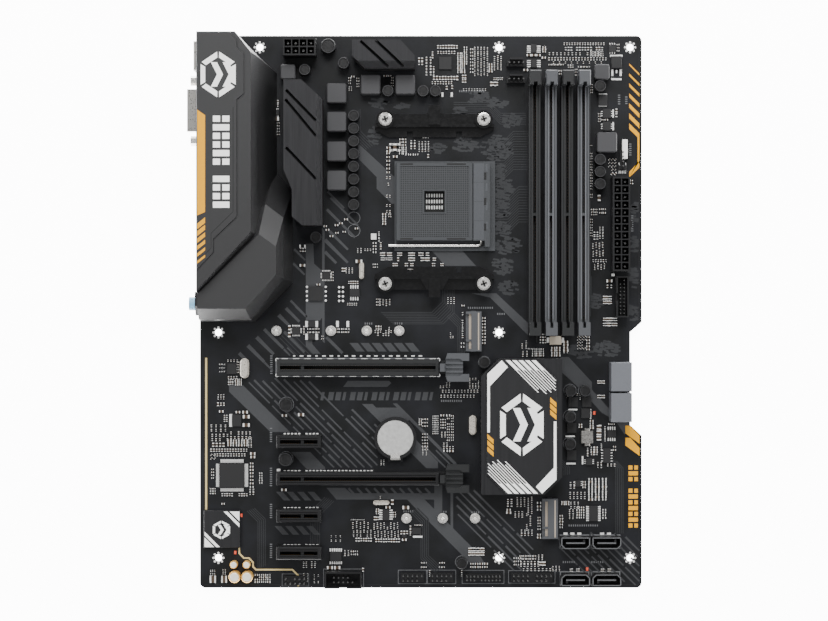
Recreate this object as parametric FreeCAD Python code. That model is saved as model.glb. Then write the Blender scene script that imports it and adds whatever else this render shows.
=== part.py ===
"""A full-size ATX desktop motherboard, made as separate pieces.

Lengths are millimetres. X runs from the rear connectors to the front edge, Y from the expansion-card edge to
the processor edge, and Z up from the top face of the bare board. Pieces in the card half of the board are
placed from its lower left corner, and pieces in the processor half from its top edge or its front edge. At the
end everything moves so that the origin is the middle of the underside of the whole part.
"""
import FreeCAD, Part
import math
import os

Vector = FreeCAD.Vector

# ---- the bare board --------------------------------------------------------------------------------------
board_width = 243.84
board_length = 304.8
board_thickness = 1.6
board_corner_radius = 3.0
notch_depth = 6.4
notch_low_y = 84.0
notch_high_y = 146.8
notch_slope_low = 5.9
notch_slope_high = 5.7

mounting_hole_radius = 1.98
hole_inset_right = 6.35
hole_top_row = 6.35
hole_bottom_row = 16.51
hole_middle_row_drop = 163.83
hole_left_x = 10.16
hole_top_left_x = 33.02
hole_centre_x = 165.1

under_board_height = 2.0
tail_radius = 0.5

# ---- fits ------------------------------------------------------------------------------------------------
seat_gap = 0.1
running_gap = 0.05
moving_gap = 0.3
screw_hole_gap = 0.15

# ---- screws that hold sinks and covers from below ----------------------------------------------------------
m3_radius = 1.45
m3_head_radius = 2.8
m3_head_height = 1.7
m3_grip = 5.0

# ---- processor socket --------------------------------------------------------------------------------------
socket_x = 129.4
socket_from_top = 91.9
socket_half_x = 21.0
socket_half_y = 21.5
socket_base_height = 4.8
socket_cover_height = 2.5
socket_window_x = 11.2
socket_window_y = 11.8
socket_lip_height = 1.5
socket_lip_front = 5.4
socket_lip_side = 3.1
cam_strip_width = 9.1
cover_travel = 0.9
lever_radius = 0.9
lever_height = 3.4
lever_bend = 2.2
lever_arm_length = 51.0
cam_post_width = 2.8

# ---- processor cooler brackets -----------------------------------------------------------------------------
cooler_pitch_x = 54.0
cooler_pitch_y = 90.2
bracket_plate_height = 3.0
bracket_depth = 7.4
bracket_height = 8.0
bracket_wall = 1.5
bracket_boss_radius = 4.9
bracket_skirt = 5.3
bracket_skirt_height = 1.6
bracket_overhang = 5.8
hook_root_width = 17.0
hook_width = 8.6
hook_nose_width = 6.4
hook_reach = 4.2
hook_height = 10.0
cooler_screw_radius = 1.75
cooler_screw_head_radius = 3.6
cooler_screw_head_height = 2.2
backplate_margin = 8.0
backplate_window = 40.0

# ---- memory slots ------------------------------------------------------------------------------------------
dimm_count = 4
dimm_pitch = 8.93
dimm_from_right = 59.6
dimm_top = 28.0
dimm_length = 130.1
dimm_width = 6.4
dimm_height = 8.9
dimm_gap = 1.6
dimm_gap_depth = 6.6
dimm_key_from_top = 71.0
dimm_key_width = 1.5
dimm_rail_groove = 0.6
dimm_tower_length = 7.3
dimm_tower_height = 17.0
latch_cheek = 1.0
latch_cheek_length = 5.0
latch_pivot_out = 3.1
latch_pivot_height = 3.3
latch_pin_radius = 0.9
latch_head_in = 4.3
latch_head_out = 3.9
latch_top = 20.0

# ---- expansion slots ---------------------------------------------------------------------------------------
card_pitch = 20.32
card_row_1 = 20.3
card_slot_left = 42.8
card_slot_width = 7.0
card_slot_height = 11.2
card_gap = 2.0
card_gap_depth = 8.6
card_end_wall = 2.0
card_key_x = 14.25
card_key_width = 1.7
x1_length = 24.6
x16_length = 89.2
shield_wall = 0.35
shield_height = 10.4
armoured_slot_width = 9.4
retainer_ear = 1.0
retainer_ear_length = 3.2
retainer_pivot_out = 1.6
retainer_pivot_height = 4.0
retainer_pin_radius = 0.8
retainer_tab_start = 3.5
retainer_tab_length = 12.9
retainer_tab_width = 15.6
retainer_tab_low = 6.2
retainer_tab_high = 9.6
retainer_hook_top = 13.0

# ---- small card sockets and their nuts ---------------------------------------------------------------------
m2_socket_depth = 8.6
m2_socket_width = 22.0
m2_socket_height = 4.2
m2_lip_height = 2.2
m2_slot_height = 1.1
m2_nut_radius = 2.8
m2_nut_height = 2.4
m2_thread_radius = 1.25
m2_board_hole_radius = 1.6

# ---- battery -----------------------------------------------------------------------------------------------
cell_x = 107.9
cell_y = 82.8
cell_radius = 10.0
cell_thickness = 3.2
holder_wall = 1.5
holder_floor = 1.1
clip_width = 5.0
clip_thickness = 0.6
clip_hook = 1.3
clip_pin_radius = 0.5
clip_pin_height = 1.9
clip_ear = 1.2

# ---- power connectors --------------------------------------------------------------------------------------
power_pitch = 4.2
power_wall = 0.6
power_height = 12.8
power_cavity = 3.5
power_floor = 2.4
power_pin_side = 1.1
power_pin_height = 8.0

# ---- rear connectors ---------------------------------------------------------------------------------------
io_face_x = 0.8
metal_wall = 0.4
port_bevel = 0.3
usb_mouth_width = 12.5
usb_mouth_height = 5.2
usb_mouth_depth = 11.0
usb_tongue_width = 11.2
usb_tongue_low = 0.2
usb_tongue_high = 2.0
tongue_setback = 1.0
lower_usb_height = 4.4
upper_usb_height = 11.8
twin_port_width = 14.5
twin_port_depth = 17.5
twin_port_height = 15.8
ps2_from_top = 14.6
ps2_face_x = -0.5
ps2_width = 15.6
ps2_depth = 20.0
ps2_height = 30.5
ps2_socket_height = 24.0
ps2_socket_radius = 4.75
ps2_core_radius = 3.9
dvi_from_top = 42.1
dvi_tip_x = -6.1
dvi_width = 38.6
dvi_depth = 17.0
dvi_height = 12.6
dvi_shell_width = 23.1
dvi_shell_low = 1.9
dvi_shell_height = 8.0
dvi_shell_corner = 1.2
dvi_insert_width = 19.6
jackscrew_pitch = 33.2
jackscrew_length = 5.2
jackscrew_across = 5.5
jackscrew_stud_radius = 1.5
jackscrew_bore_radius = 1.25
hdmi_from_top = 70.3
hdmi_width = 15.0
hdmi_depth = 12.0
hdmi_height = 6.4
hdmi_mouth_width = 14.0
hdmi_tongue_width = 11.2
usb_from_top = 88.3
usb_c_from_top = 105.8
usb_c_mouth_width = 8.8
usb_c_mouth_low = 10.7
usb_c_mouth_high = 13.4
usb_c_tongue_width = 6.6
lan_from_top = 124.8
lan_width = 16.4
lan_depth = 22.0
lan_height = 25.3
lan_mouth_width = 11.8
lan_mouth_low = 17.0
lan_mouth_high = 24.4
lan_mouth_depth = 12.2
lan_latch_width = 4.0
audio_from_top = 148.0
audio_rear_x = -0.2
audio_tip_x = -3.6
audio_back_x = 14.0
audio_width = 12.8
audio_height = 26.0
audio_corner_cut = 5.0
audio_barrel_radius = 3.65
audio_bore_radius = 1.85
audio_lowest_jack = 4.4
audio_jack_pitch = 8.4
audio_jack_heights = [audio_lowest_jack + k * audio_jack_pitch for k in range(3)]

# ---- rear shroud -------------------------------------------------------------------------------------------
shroud_left = 1.5
shroud_wall = 1.5
shroud_open_x = -9.0
shroud_step_height = 22.05 + 1.3 * shroud_wall
shroud_ridge_height = 33.25 + 1.3 * shroud_wall
shroud_plateau = 0.8
lobe_step_height = 19.05 + 1.3 * shroud_wall
lobe_height = 28.05 + 1.3 * shroud_wall
shroud_boss_radius = 3.2

# ---- drive connectors --------------------------------------------------------------------------------------
drive_half_x = 8.05
drive_half_y = 3.3
drive_height = 8.4
drive_wall = 0.8
drive_floor = 1.6
drive_chamfer = 2.0
drive_tongue_length = 10.6
drive_tongue_thickness = 1.2
angled_drive_depth = 11.4
angled_drive_width = 15.8
angled_drive_height = 13.0
angled_drive_levels = (3.4, 9.6)
angled_drive_room = 4.4

# ---- pin headers -------------------------------------------------------------------------------------------
header_pitch = 2.54
fine_pitch = 2.0
header_pin_side = 0.64
fine_pin_side = 0.5
header_pin_height = 6.0
header_base_height = 2.3
box_header_height = 9.0
box_header_wall = 0.8
box_header_floor = 2.0
fan_base_height = 3.2
fan_guard_height = 8.0

# ---- power parts -------------------------------------------------------------------------------------------
choke_side = 10.8
choke_height = 7.0
can_radius = 3.1
can_height = 7.0
can_crimp = 0.25
audio_shield_height = 2.0

# ---- heat sinks --------------------------------------------------------------------------------------------
sink_base = 2.6
vrm_sink_left_height = 25.0
vrm_sink_top_height = 20.0
sink_groove_width = 1.5
sink_groove_depth = 4.0
mosfet_height = 1.1
chipset_x = 176.9
chipset_y = 89.7
chipset_half_x = 22.1
chipset_half_y = 37.1
chipset_sink_top = 14.8
faceplate_half_x = 19.2
faceplate_half_y = 36.7
faceplate_thickness = 1.2
chipset_package = 23.0
chipset_package_height = 1.6
chipset_fin_pitch = 3.0
chipset_fin_gap = 1.4
chipset_fin_depth = 1.4
chipset_rim = 1.5


def from_top(distance):
    """Y of a line that lies this far below the processor edge of the board."""
    return board_length - distance


def from_right(distance):
    """X of a line that lies this far in from the front edge of the board."""
    return board_width - distance


# ---- shape helpers -----------------------------------------------------------------------------------------
def box(x0, x1, y0, y1, z0, z1):
    """A block between two corners."""
    return Part.makeBox(x1 - x0, y1 - y0, z1 - z0, Vector(x0, y0, z0))


def block(x, y, z, length_x, length_y, height):
    """A block that is centred on x and y and stands on z."""
    return Part.makeBox(length_x, length_y, height, Vector(x - length_x / 2, y - length_y / 2, z))


def post(x, y, z, radius, height):
    """An upright cylinder that stands on z."""
    return Part.makeCylinder(radius, height, Vector(x, y, z))


def rod_y(x, y0, y1, z, radius):
    return Part.makeCylinder(radius, y1 - y0, Vector(x, y0, z), Vector(0, 1, 0))


def rod_x(x0, x1, y, z, radius):
    return Part.makeCylinder(radius, x1 - x0, Vector(x0, y, z), Vector(1, 0, 0))


def wire(outline, z):
    points = [Vector(x, y, z) for x, y in outline]
    return Part.makePolygon(points + points[:1])


def prism(outline, z0, z1):
    """An upright solid over an outline of (x, y) corners."""
    return Part.Face(wire(outline, z0)).extrude(Vector(0, 0, z1 - z0))


def side_prism(outline, y0, y1):
    """A solid over an outline of (x, z) corners, running from y0 to y1."""
    points = [Vector(x, y0, z) for x, z in outline]
    return Part.Face(Part.makePolygon(points + points[:1])).extrude(Vector(0, y1 - y0, 0))


def tapered(low, z0, high, z1):
    """A solid with flat sloping sides between two outlines of as many corners."""
    return Part.makeLoft([wire(low, z0), wire(high, z1)], True, True)


def fuse(shapes):
    """One clean solid out of several that touch or overlap."""
    whole = shapes[0]
    if len(shapes) > 1:
        whole = whole.multiFuse(shapes[1:])
    return whole.removeSplitter()


def cut(shape, tools):
    return shape.cut(Part.makeCompound(tools)) if tools else shape


def group(shapes):
    """Separate solids that share one node."""
    return Part.makeCompound(shapes)


def round_upright_edges(shape, radius, test=lambda x, y: True):
    """Rounds the upright edges whose place passes the test."""
    chosen = []
    for edge in shape.Edges:
        if len(edge.Vertexes) != 2:
            continue
        low, high = [vertex.Point for vertex in edge.Vertexes]
        if abs(low.x - high.x) + abs(low.y - high.y) < 1e-6 and test(low.x, low.y):
            chosen.append(edge)
    return shape.makeFillet(radius, chosen)


def bevel_top(shape, size):
    """Bevels every edge that lies in the top face."""
    top = shape.BoundBox.ZMax
    chosen = [edge for edge in shape.Edges if edge.BoundBox.ZMin > top - 1e-6]
    return shape.makeChamfer(size, chosen)


def inset(outline, distance):
    """The outline with each side moved inwards. The corners go anticlockwise."""
    moved = []
    count = len(outline)
    for i in range(count):
        before, here, after = outline[i - 1], outline[i], outline[(i + 1) % count]
        ax, ay = here[0] - before[0], here[1] - before[1]
        bx, by = after[0] - here[0], after[1] - here[1]
        a, b = math.hypot(ax, ay), math.hypot(bx, by)
        nax, nay, nbx, nby = -ay / a, ax / a, -by / b, bx / b
        scale = distance / (1 + nax * nbx + nay * nby)
        moved.append((here[0] + (nax + nbx) * scale, here[1] + (nay + nby) * scale))
    return moved


nodes = {}

# ---- places that several pieces share ------------------------------------------------------------------------
socket_y = from_top(socket_from_top)
cooler_screws = [(socket_x + sx * cooler_pitch_x / 2, socket_y + sy * cooler_pitch_y / 2)
                 for sx in (-1, 1) for sy in (-1, 1)]
middle_row_y = from_top(hole_middle_row_drop)
mounting_holes = [
    (hole_top_left_x, from_top(hole_top_row)), (hole_centre_x, from_top(hole_top_row)),
    (from_right(hole_inset_right), from_top(hole_top_row)),
    (hole_left_x, middle_row_y), (hole_centre_x, middle_row_y),
    (hole_left_x, hole_bottom_row), (hole_centre_x, hole_bottom_row),
    (from_right(hole_inset_right), hole_bottom_row),
]
card_rows = {name: card_row_1 + steps * card_pitch
             for name, steps in (("x1_3", 0), ("x1_2", 1), ("x16_2", 2), ("x1_1", 3), ("x16_1", 5))}
left_sink_screws = [(52.5, from_top(31.5)), (63.0, from_top(100.5))]
top_sink_screws = [(89.6, from_top(8.5)), (113.4, from_top(16.0))]
chipset_screws = [(chipset_x - 16.5, chipset_y - 24.0), (chipset_x + 16.5, chipset_y + 24.0)]
shroud_screws = [(30.5, from_top(36.0)), (29.5, from_top(84.0)), (37.0, from_top(132.0))]
m3_screws = left_sink_screws + top_sink_screws + chipset_screws + shroud_screws
upper_nut_y = from_top(162.9)
lower_nut_y = 38.4
m2_nut_places = [(x, upper_nut_y) for x in (42.3, 72.3, 92.1, 110.0)]
m2_nut_places += [(x, lower_nut_y) for x in (114.0, 134.0, 151.9)]
dimm_centres = [from_right(dimm_from_right - i * dimm_pitch) for i in range(dimm_count)]
dimm_high_y = from_top(dimm_top)
dimm_low_y = dimm_high_y - dimm_length


def make_pcb():
    """The bare board: an ATX outline with a shallow notch in the front edge, and its drilled holes."""
    notch_x = board_width - notch_depth
    outline = [
        (0, 0), (board_width, 0), (board_width, notch_low_y), (notch_x, notch_low_y + notch_slope_low),
        (notch_x, notch_high_y - notch_slope_high), (board_width, notch_high_y),
        (board_width, board_length), (0, board_length),
    ]
    plate = prism(outline, -board_thickness, 0)
    plate = round_upright_edges(
        plate, board_corner_radius,
        lambda x, y: (x < 1 or x > board_width - 1) and (y < 1 or y > board_length - 1))
    holes = [(x, y, mounting_hole_radius) for x, y in mounting_holes]
    holes += [(x, y, cooler_screw_radius + screw_hole_gap) for x, y in cooler_screws]
    holes += [(x, y, m3_radius + screw_hole_gap) for x, y in m3_screws]
    holes += [(x, y, m2_board_hole_radius) for x, y in m2_nut_places]
    drills = [post(x, y, -board_thickness - 1, radius, board_thickness + 2) for x, y, radius in holes]
    nodes["pcb"] = cut(plate, drills)


def m3_hole(x, y, z):
    """The tapped hole that a screw from below turns into."""
    return post(x, y, z, m3_radius + running_gap, m3_grip + moving_gap)


def make_m3_screws():
    """Pan-head screws, driven from under the board into the sinks, the chipset sink and the shroud."""
    screws = []
    for x, y in m3_screws:
        reach = m3_grip if (x, y) in shroud_screws else sink_base + m3_grip
        head = post(x, y, -board_thickness - m3_head_height, m3_head_radius, m3_head_height)
        head = bevel_bottom(head, 0.5)
        shank = post(x, y, -board_thickness, m3_radius, board_thickness + reach)
        slots = [block(x, y, -board_thickness - m3_head_height, 2.8, 0.6, 0.8),
                 block(x, y, -board_thickness - m3_head_height, 0.6, 2.8, 0.8)]
        screws.append(cut(fuse([head, shank]), slots))
    nodes["heatsink_screws"] = group(screws)


def bevel_bottom(shape, size):
    """Bevels every edge that lies in the bottom face."""
    bottom = shape.BoundBox.ZMin
    chosen = [edge for edge in shape.Edges if edge.BoundBox.ZMax < bottom + 1e-6]
    return shape.makeChamfer(size, chosen)


# ---- processor socket, brackets and back plate -----------------------------------------------------------------
cover_low = socket_base_height + running_gap
cover_high = cover_low + socket_cover_height
strip_x0 = socket_x + socket_half_x + moving_gap
strip_x1 = strip_x0 + cam_strip_width
lever_x = (strip_x0 + strip_x1) / 2
lever_front_y = socket_y - socket_half_y - moving_gap - lever_bend


def make_socket():
    """The zero-force socket: a base with its cam housing, a cover that slides on it, and the lever."""
    low_y, high_y = socket_y - socket_half_y, socket_y + socket_half_y
    left = socket_x - socket_half_x
    base = box(left, strip_x0, low_y, high_y, 0, socket_base_height)
    strip = box(strip_x0 - 1.0, strip_x1, low_y, high_y, 0, cover_high)
    strip = cut(strip, [box(strip_x0 - 2.0, strip_x0, low_y - 1, high_y + 1, socket_base_height, cover_high + 1)])
    lip = box(left - 1.0, strip_x1 + socket_lip_side, low_y - socket_lip_front, high_y + 1.0,
              0, socket_lip_height)
    cam_post = box(strip_x1 - cam_post_width, strip_x1, low_y - 3.4, low_y, 0, cover_high)
    base = fuse([base, strip, lip, cam_post])
    well = block(socket_x, socket_y, 1.2, socket_window_x, socket_window_y, socket_base_height)
    bore = rod_y(lever_x, low_y - 1, high_y - 2.0, lever_height, lever_radius + running_gap)
    slots = [block(strip_x1 - 2.6, socket_y + k * 14.0, cover_high - 0.8, 1.3, 4.0, 2.0) for k in (-1, 0, 1)]
    nodes["cpu_socket_base"] = cut(base, [well, bore] + slots)

    cover = box(left, socket_x + socket_half_x, low_y, high_y, cover_low, cover_high)
    cover = round_upright_edges(cover, 0.8)
    cover = bevel_top(cover, 0.3)
    window = block(socket_x, socket_y, cover_low - 1, socket_window_x, socket_window_y, socket_cover_height + 2)
    rim = 2.1
    field = box(left + rim, socket_x + socket_half_x - rim, low_y + rim, high_y - rim, cover_high - 0.4,
                cover_high + 1)
    curb = block(socket_x, socket_y, cover_high - 1.0, socket_window_x + 1.6, socket_window_y + 1.6, 1.0)
    cover = fuse([cut(cover, [field]), curb])
    nodes["cpu_socket_cover"] = cut(cover, [window])

    start = Vector(lever_x, high_y - 3.0, lever_height)
    bend_start = Vector(lever_x, lever_front_y + lever_bend, lever_height)
    corner = lever_bend * (1 - math.sqrt(0.5))
    bend_middle = Vector(lever_x - corner, lever_front_y + corner, lever_height)
    bend_end = Vector(lever_x - lever_bend, lever_front_y, lever_height)
    tip = Vector(lever_x - lever_arm_length, lever_front_y, lever_height)
    path = Part.Wire([
        Part.LineSegment(start, bend_start).toShape(),
        Part.Arc(bend_start, bend_middle, bend_end).toShape(),
        Part.LineSegment(bend_end, tip).toShape(),
    ])
    profile = Part.Wire(Part.makeCircle(lever_radius, start, Vector(0, 1, 0)))
    lever = path.makePipeShell([profile], True, True)
    nodes["cpu_socket_lever"] = lever


def bracket(side):
    """One cooler bracket. side is 1 for the one at the processor edge and -1 for the other."""
    line_y = socket_y + side * cooler_pitch_y / 2
    inner_y = line_y - side * (bracket_depth - 3.3)
    outer_y = line_y + side * 3.3
    half = cooler_pitch_x / 2

    def span(y0, y1):
        return min(y0, y1), max(y0, y1)

    plate_y = span(inner_y, outer_y)
    plate = box(socket_x - half, socket_x + half, plate_y[0], plate_y[1], 0, bracket_plate_height)
    wall_y = span(inner_y, inner_y + side * bracket_wall)
    wall = box(socket_x - half - bracket_overhang, socket_x + half + bracket_overhang, wall_y[0], wall_y[1],
               0, bracket_height - 2.0)
    bosses = [post(x, line_y, 0, bracket_boss_radius, bracket_height)
              for x in (socket_x - half, socket_x + half)]
    skirt_in = inner_y - side * bracket_skirt
    wide, narrow = half + bracket_overhang, half - 1.6
    skirt_corners = [(socket_x - wide, inner_y + side * 0.5), (socket_x - wide, inner_y - side * 1.0),
                     (socket_x - narrow, skirt_in), (socket_x + narrow, skirt_in),
                     (socket_x + wide, inner_y - side * 1.0), (socket_x + wide, inner_y + side * 0.5)]
    skirt = prism(skirt_corners, 0, bracket_skirt_height)
    hook_low = prism([(socket_x - hook_root_width / 2, inner_y), (socket_x + hook_root_width / 2, inner_y),
                      (socket_x + hook_width / 2, outer_y), (socket_x - hook_width / 2, outer_y)],
                     0, bracket_height)
    nose_y = span(inner_y + side * 1.0, outer_y + side * hook_reach)
    nose = box(socket_x - hook_nose_width / 2, socket_x + hook_nose_width / 2, nose_y[0], nose_y[1],
               bracket_height - 2.5, hook_height)
    whole = fuse([plate, wall, skirt, hook_low, nose] + bosses)
    notch_y = span(skirt_in - side * 1.0, skirt_in + side * 3.2)
    notches = [box(x - 1.6, x + 1.6, notch_y[0], notch_y[1], -1, bracket_skirt_height + 1)
               for x in (socket_x - 13.5, socket_x + 13.6)]
    holes = [post(x, line_y, -1, cooler_screw_radius + screw_hole_gap, bracket_height + 3)
             for x in (socket_x - half, socket_x + half)]
    return cut(whole, notches + holes)


def make_cooler_mount():
    """Two plastic brackets, the steel plate behind the board and the four screws that join them."""
    nodes["cooler_bracket_top"] = bracket(1)
    nodes["cooler_bracket_bottom"] = bracket(-1)
    screws = []
    for x, y in cooler_screws:
        head = bevel_top(post(x, y, bracket_height, cooler_screw_head_radius, cooler_screw_head_height), 0.8)
        shank_low = -board_thickness - under_board_height + 0.2
        shank = post(x, y, shank_low, cooler_screw_radius, bracket_height - shank_low)
        top = bracket_height + cooler_screw_head_height
        slots = [block(x, y, top - 1.2, 3.6, 0.9, 2.0), block(x, y, top - 1.2, 0.9, 3.6, 2.0)]
        screws.append(cut(fuse([head, shank]), slots))
    nodes["cooler_bracket_screws"] = group(screws)
    plate = block(socket_x, socket_y, -board_thickness - under_board_height,
                  cooler_pitch_x + 2 * backplate_margin, cooler_pitch_y + 2 * backplate_margin,
                  under_board_height)
    plate = round_upright_edges(plate, backplate_margin - 1.0)
    window = block(socket_x, socket_y, -board_thickness - under_board_height - 1,
                   backplate_window, backplate_window, under_board_height + 2)
    side_gaps = [block(socket_x + k * (cooler_pitch_x / 2 + backplate_margin), socket_y,
                       -board_thickness - under_board_height - 1, 2 * backplate_margin, cooler_pitch_y * 0.55,
                       under_board_height + 2) for k in (-1, 1)]
    holes = [post(x, y, -board_thickness - under_board_height - 1, cooler_screw_radius + running_gap,
                  under_board_height + 2) for x, y in cooler_screws]
    nodes["cpu_backplate"] = cut(plate, [window] + side_gaps + holes)


# ---- memory slots ------------------------------------------------------------------------------------------
def make_dimm(number, x):
    """One memory slot with a fixed tower at its low end and a swinging latch at its high end."""
    half = dimm_width / 2
    body = block(x, (dimm_low_y + dimm_high_y) / 2, 0, dimm_width, dimm_length, dimm_height)
    tower = box(x - half, x + half, dimm_low_y - dimm_tower_length, dimm_low_y, 0, dimm_tower_height)
    cheeks = [box(x + k * half, x + k * (half - latch_cheek), dimm_high_y - 0.5,
                  dimm_high_y + latch_cheek_length, 0, dimm_height) if k < 0 else
              box(x + half - latch_cheek, x + half, dimm_high_y - 0.5,
                  dimm_high_y + latch_cheek_length, 0, dimm_height) for k in (-1, 1)]
    slot = fuse([body, tower] + cheeks)
    floor = dimm_height - dimm_gap_depth
    gap = box(x - dimm_gap / 2, x + dimm_gap / 2, dimm_low_y - 3.0, dimm_high_y + 1.0, floor, latch_top)
    key_y = from_top(dimm_top + dimm_key_from_top)
    key = block(x, key_y, floor, dimm_gap + 0.4, dimm_key_width, dimm_gap_depth - 0.6)
    grooves = [block(x + k * (half + dimm_gap / 2) / 2, (dimm_low_y + dimm_high_y) / 2,
                     dimm_height - dimm_rail_groove, 0.7, dimm_length - 2.0, 1.0) for k in (-1, 1)]
    pivot_y = dimm_high_y + latch_pivot_out
    bores = [rod_x(x - half - 1, x + half + 1, pivot_y, latch_pivot_height, latch_pin_radius + running_gap)]
    nodes[f"dimm_slot_{number}"] = fuse([cut(slot, [gap] + grooves + bores), key])

    web_half = half - latch_cheek - moving_gap
    web_round = latch_pivot_out - moving_gap
    hub = rod_x(x - web_half, x + web_half, pivot_y, latch_pivot_height, web_round - 0.2)
    web = box(x - web_half, x + web_half, pivot_y - web_round + 0.2, pivot_y + web_round - 0.2,
              latch_pivot_height, dimm_height + moving_gap + 0.5)
    head = box(x - half, x + half, pivot_y - latch_head_in, pivot_y + latch_head_out,
               dimm_height + moving_gap, latch_top)
    head = bevel_top(head, 0.5)
    card_groove = box(x - dimm_gap / 2 - 0.2, x + dimm_gap / 2 + 0.2, pivot_y - latch_head_in - 1,
                      pivot_y - latch_head_in + 1.8, dimm_height, latch_top + 1)
    pin = rod_x(x - half, x + half, pivot_y, latch_pivot_height, latch_pin_radius)
    nodes[f"dimm_latch_{number}"] = cut(fuse([hub, web, head, pin]), [card_groove])


# ---- expansion slots ---------------------------------------------------------------------------------------
def card_slot(y, length, width, with_retainer):
    """A card slot with its key, and with two ears at its end where it has a retainer."""
    x0, x1 = card_slot_left, card_slot_left + length
    body = bevel_top(box(x0, x1, y - width / 2, y + width / 2, 0, card_slot_height), 0.4)
    floor = card_slot_height - card_gap_depth
    gap = box(x0 + card_end_wall, x1 - card_end_wall, y - card_gap / 2, y + card_gap / 2, floor,
              card_slot_height + 1)
    key_x = card_slot_left + card_key_x
    key = block(key_x, y, floor, card_key_width, card_gap + 0.4, card_gap_depth - 0.8)
    channels = [box(x0 + card_end_wall, x1 - card_end_wall, y + k * (card_gap / 2 + 0.9) - 0.25,
                    y + k * (card_gap / 2 + 0.9) + 0.25, card_slot_height - 0.5, card_slot_height + 1)
                for k in (-1, 1)]
    pieces = [cut(body, [gap] + channels), key]
    if with_retainer:
        ear_top = retainer_pivot_height + 3.5
        pivot_x = x1 + retainer_pivot_out
        for k in (-1, 1):
            ear_y = y + k * (card_slot_width / 2 - retainer_ear / 2)
            ear = block(x1 + retainer_ear_length / 2 - 0.25, ear_y, 0, retainer_ear_length + 0.5, retainer_ear,
                        ear_top)
            pieces.append(cut(ear, [rod_y(pivot_x, y - card_slot_width, y + card_slot_width,
                                          retainer_pivot_height, retainer_pin_radius + running_gap)]))
    return fuse(pieces)


def retainer(y, length):
    """The lever at the end of a long slot: a hook over the card and a wide finger tab."""
    x1 = card_slot_left + length
    pivot_x = x1 + retainer_pivot_out
    web_half = card_slot_width / 2 - retainer_ear - moving_gap
    hub_radius = retainer_pivot_out - moving_gap
    hub = rod_y(pivot_x, y - web_half, y + web_half, retainer_pivot_height, hub_radius)
    web = box(pivot_x - hub_radius, pivot_x + hub_radius, y - web_half, y + web_half, retainer_pivot_height,
              retainer_hook_top)
    pin = rod_y(pivot_x, y - card_slot_width / 2, y + card_slot_width / 2, retainer_pivot_height,
                retainer_pin_radius)
    tab_x = x1 + retainer_tab_start
    tab_end = tab_x + retainer_tab_length
    half = retainer_tab_width / 2
    bridge = box(pivot_x, tab_end - 3.4, y - half + 2.6, y + half - 2.6, retainer_tab_low,
                 retainer_tab_high - 1.4)
    bridge = cut(bridge, [box(pivot_x - 1, tab_x, y - half, y - web_half, 0, retainer_tab_high),
                          box(pivot_x - 1, tab_x, y + web_half, y + half, 0, retainer_tab_high)])
    wings = []
    for k in (-1, 1):
        corners = [(tab_x + 1.0, y + k * half), (tab_end, y + k * half), (tab_end, y + k * (half - 4.2)),
                   (tab_end - 3.6, y + k * (half - 4.2)), (tab_end - 5.2, y + k * (half - 3.0)),
                   (tab_x, y + k * (half - 3.0))]
        wings.append(prism(corners, retainer_tab_low, retainer_tab_high))
    ribs = [block((tab_x + tab_end - 3.4) / 2, y + k * 2.4, retainer_tab_high - 1.4,
                  retainer_tab_length - 3.4, 0.9, 0.9) for k in (-1, 0, 1)]
    return fuse([hub, web, pin, bridge] + wings + ribs)


def make_card_slots():
    for name in ("x1_1", "x1_2", "x1_3"):
        node = "pcie_x1_slot_" + name[-1]
        nodes[node] = card_slot(card_rows[name], x1_length, card_slot_width, False)
    first_y, second_y = card_rows["x16_1"], card_rows["x16_2"]
    nodes["pcie_x16_slot_1"] = card_slot(first_y, x16_length, armoured_slot_width, True)
    nodes["pcie_x16_slot_2"] = card_slot(second_y, x16_length, card_slot_width, True)
    nodes["pcie_x16_latch_1"] = retainer(first_y, x16_length)
    nodes["pcie_x16_latch_2"] = retainer(second_y, x16_length)
    inner = armoured_slot_width / 2 + running_gap
    x0, x1 = card_slot_left - running_gap, card_slot_left + x16_length + running_gap
    outer = box(x0 - shield_wall, x1 + shield_wall, first_y - inner - shield_wall, first_y + inner + shield_wall,
                0, shield_height)
    hollow = box(x0, x1, first_y - inner, first_y + inner, -1, shield_height + 1)
    doorway = box(x1 - 1, x1 + 2, first_y - card_slot_width / 2 - running_gap,
                  first_y + card_slot_width / 2 + running_gap, -1, shield_height + 1)
    nodes["pcie_x16_shield"] = cut(outer, [hollow, doorway])


# ---- small card sockets --------------------------------------------------------------------------------------
def m2_socket(x, y):
    """A low edge socket whose mouth faces the rear of the board."""
    half = m2_socket_width / 2
    body = box(x, x + m2_socket_depth, y - half, y + half, 0, m2_socket_height)
    slot_top = m2_lip_height + m2_slot_height
    mouth = box(x - 1, x + m2_socket_depth - 2.0, y - half + 1.4, y + half - 1.4, m2_lip_height, slot_top)
    step = box(x - 1, x + 3.0, y - half + 1.4, y + half - 1.4, m2_lip_height, m2_socket_height + 1)
    key = box(x, x + m2_socket_depth - 1.8, y - half + 5.4, y - half + 6.6, m2_lip_height - 0.1, slot_top + 0.1)
    pegs = [box(x + 3.0, x + 5.6, y + k * half - 0.3, y + k * half + 0.3, 0, 1.0) for k in (-1, 1)]
    return fuse([cut(body, [mouth, step]), key] + pegs)


def make_m2():
    nodes["m2_socket_upper"] = m2_socket(146.7, from_top(163.2))
    nodes["m2_socket_lower"] = m2_socket(188.8, lower_nut_y)
    nuts = []
    for x, y in m2_nut_places:
        flange = post(x, y, 0, m2_nut_radius, 0.8)
        barrel = bevel_top(post(x, y, 0, m2_nut_radius - 0.5, m2_nut_height), 0.2)
        nuts.append(cut(fuse([flange, barrel]), [post(x, y, -1, m2_thread_radius, m2_nut_height + 2)]))
    nodes["m2_nuts"] = group(nuts)


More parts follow.
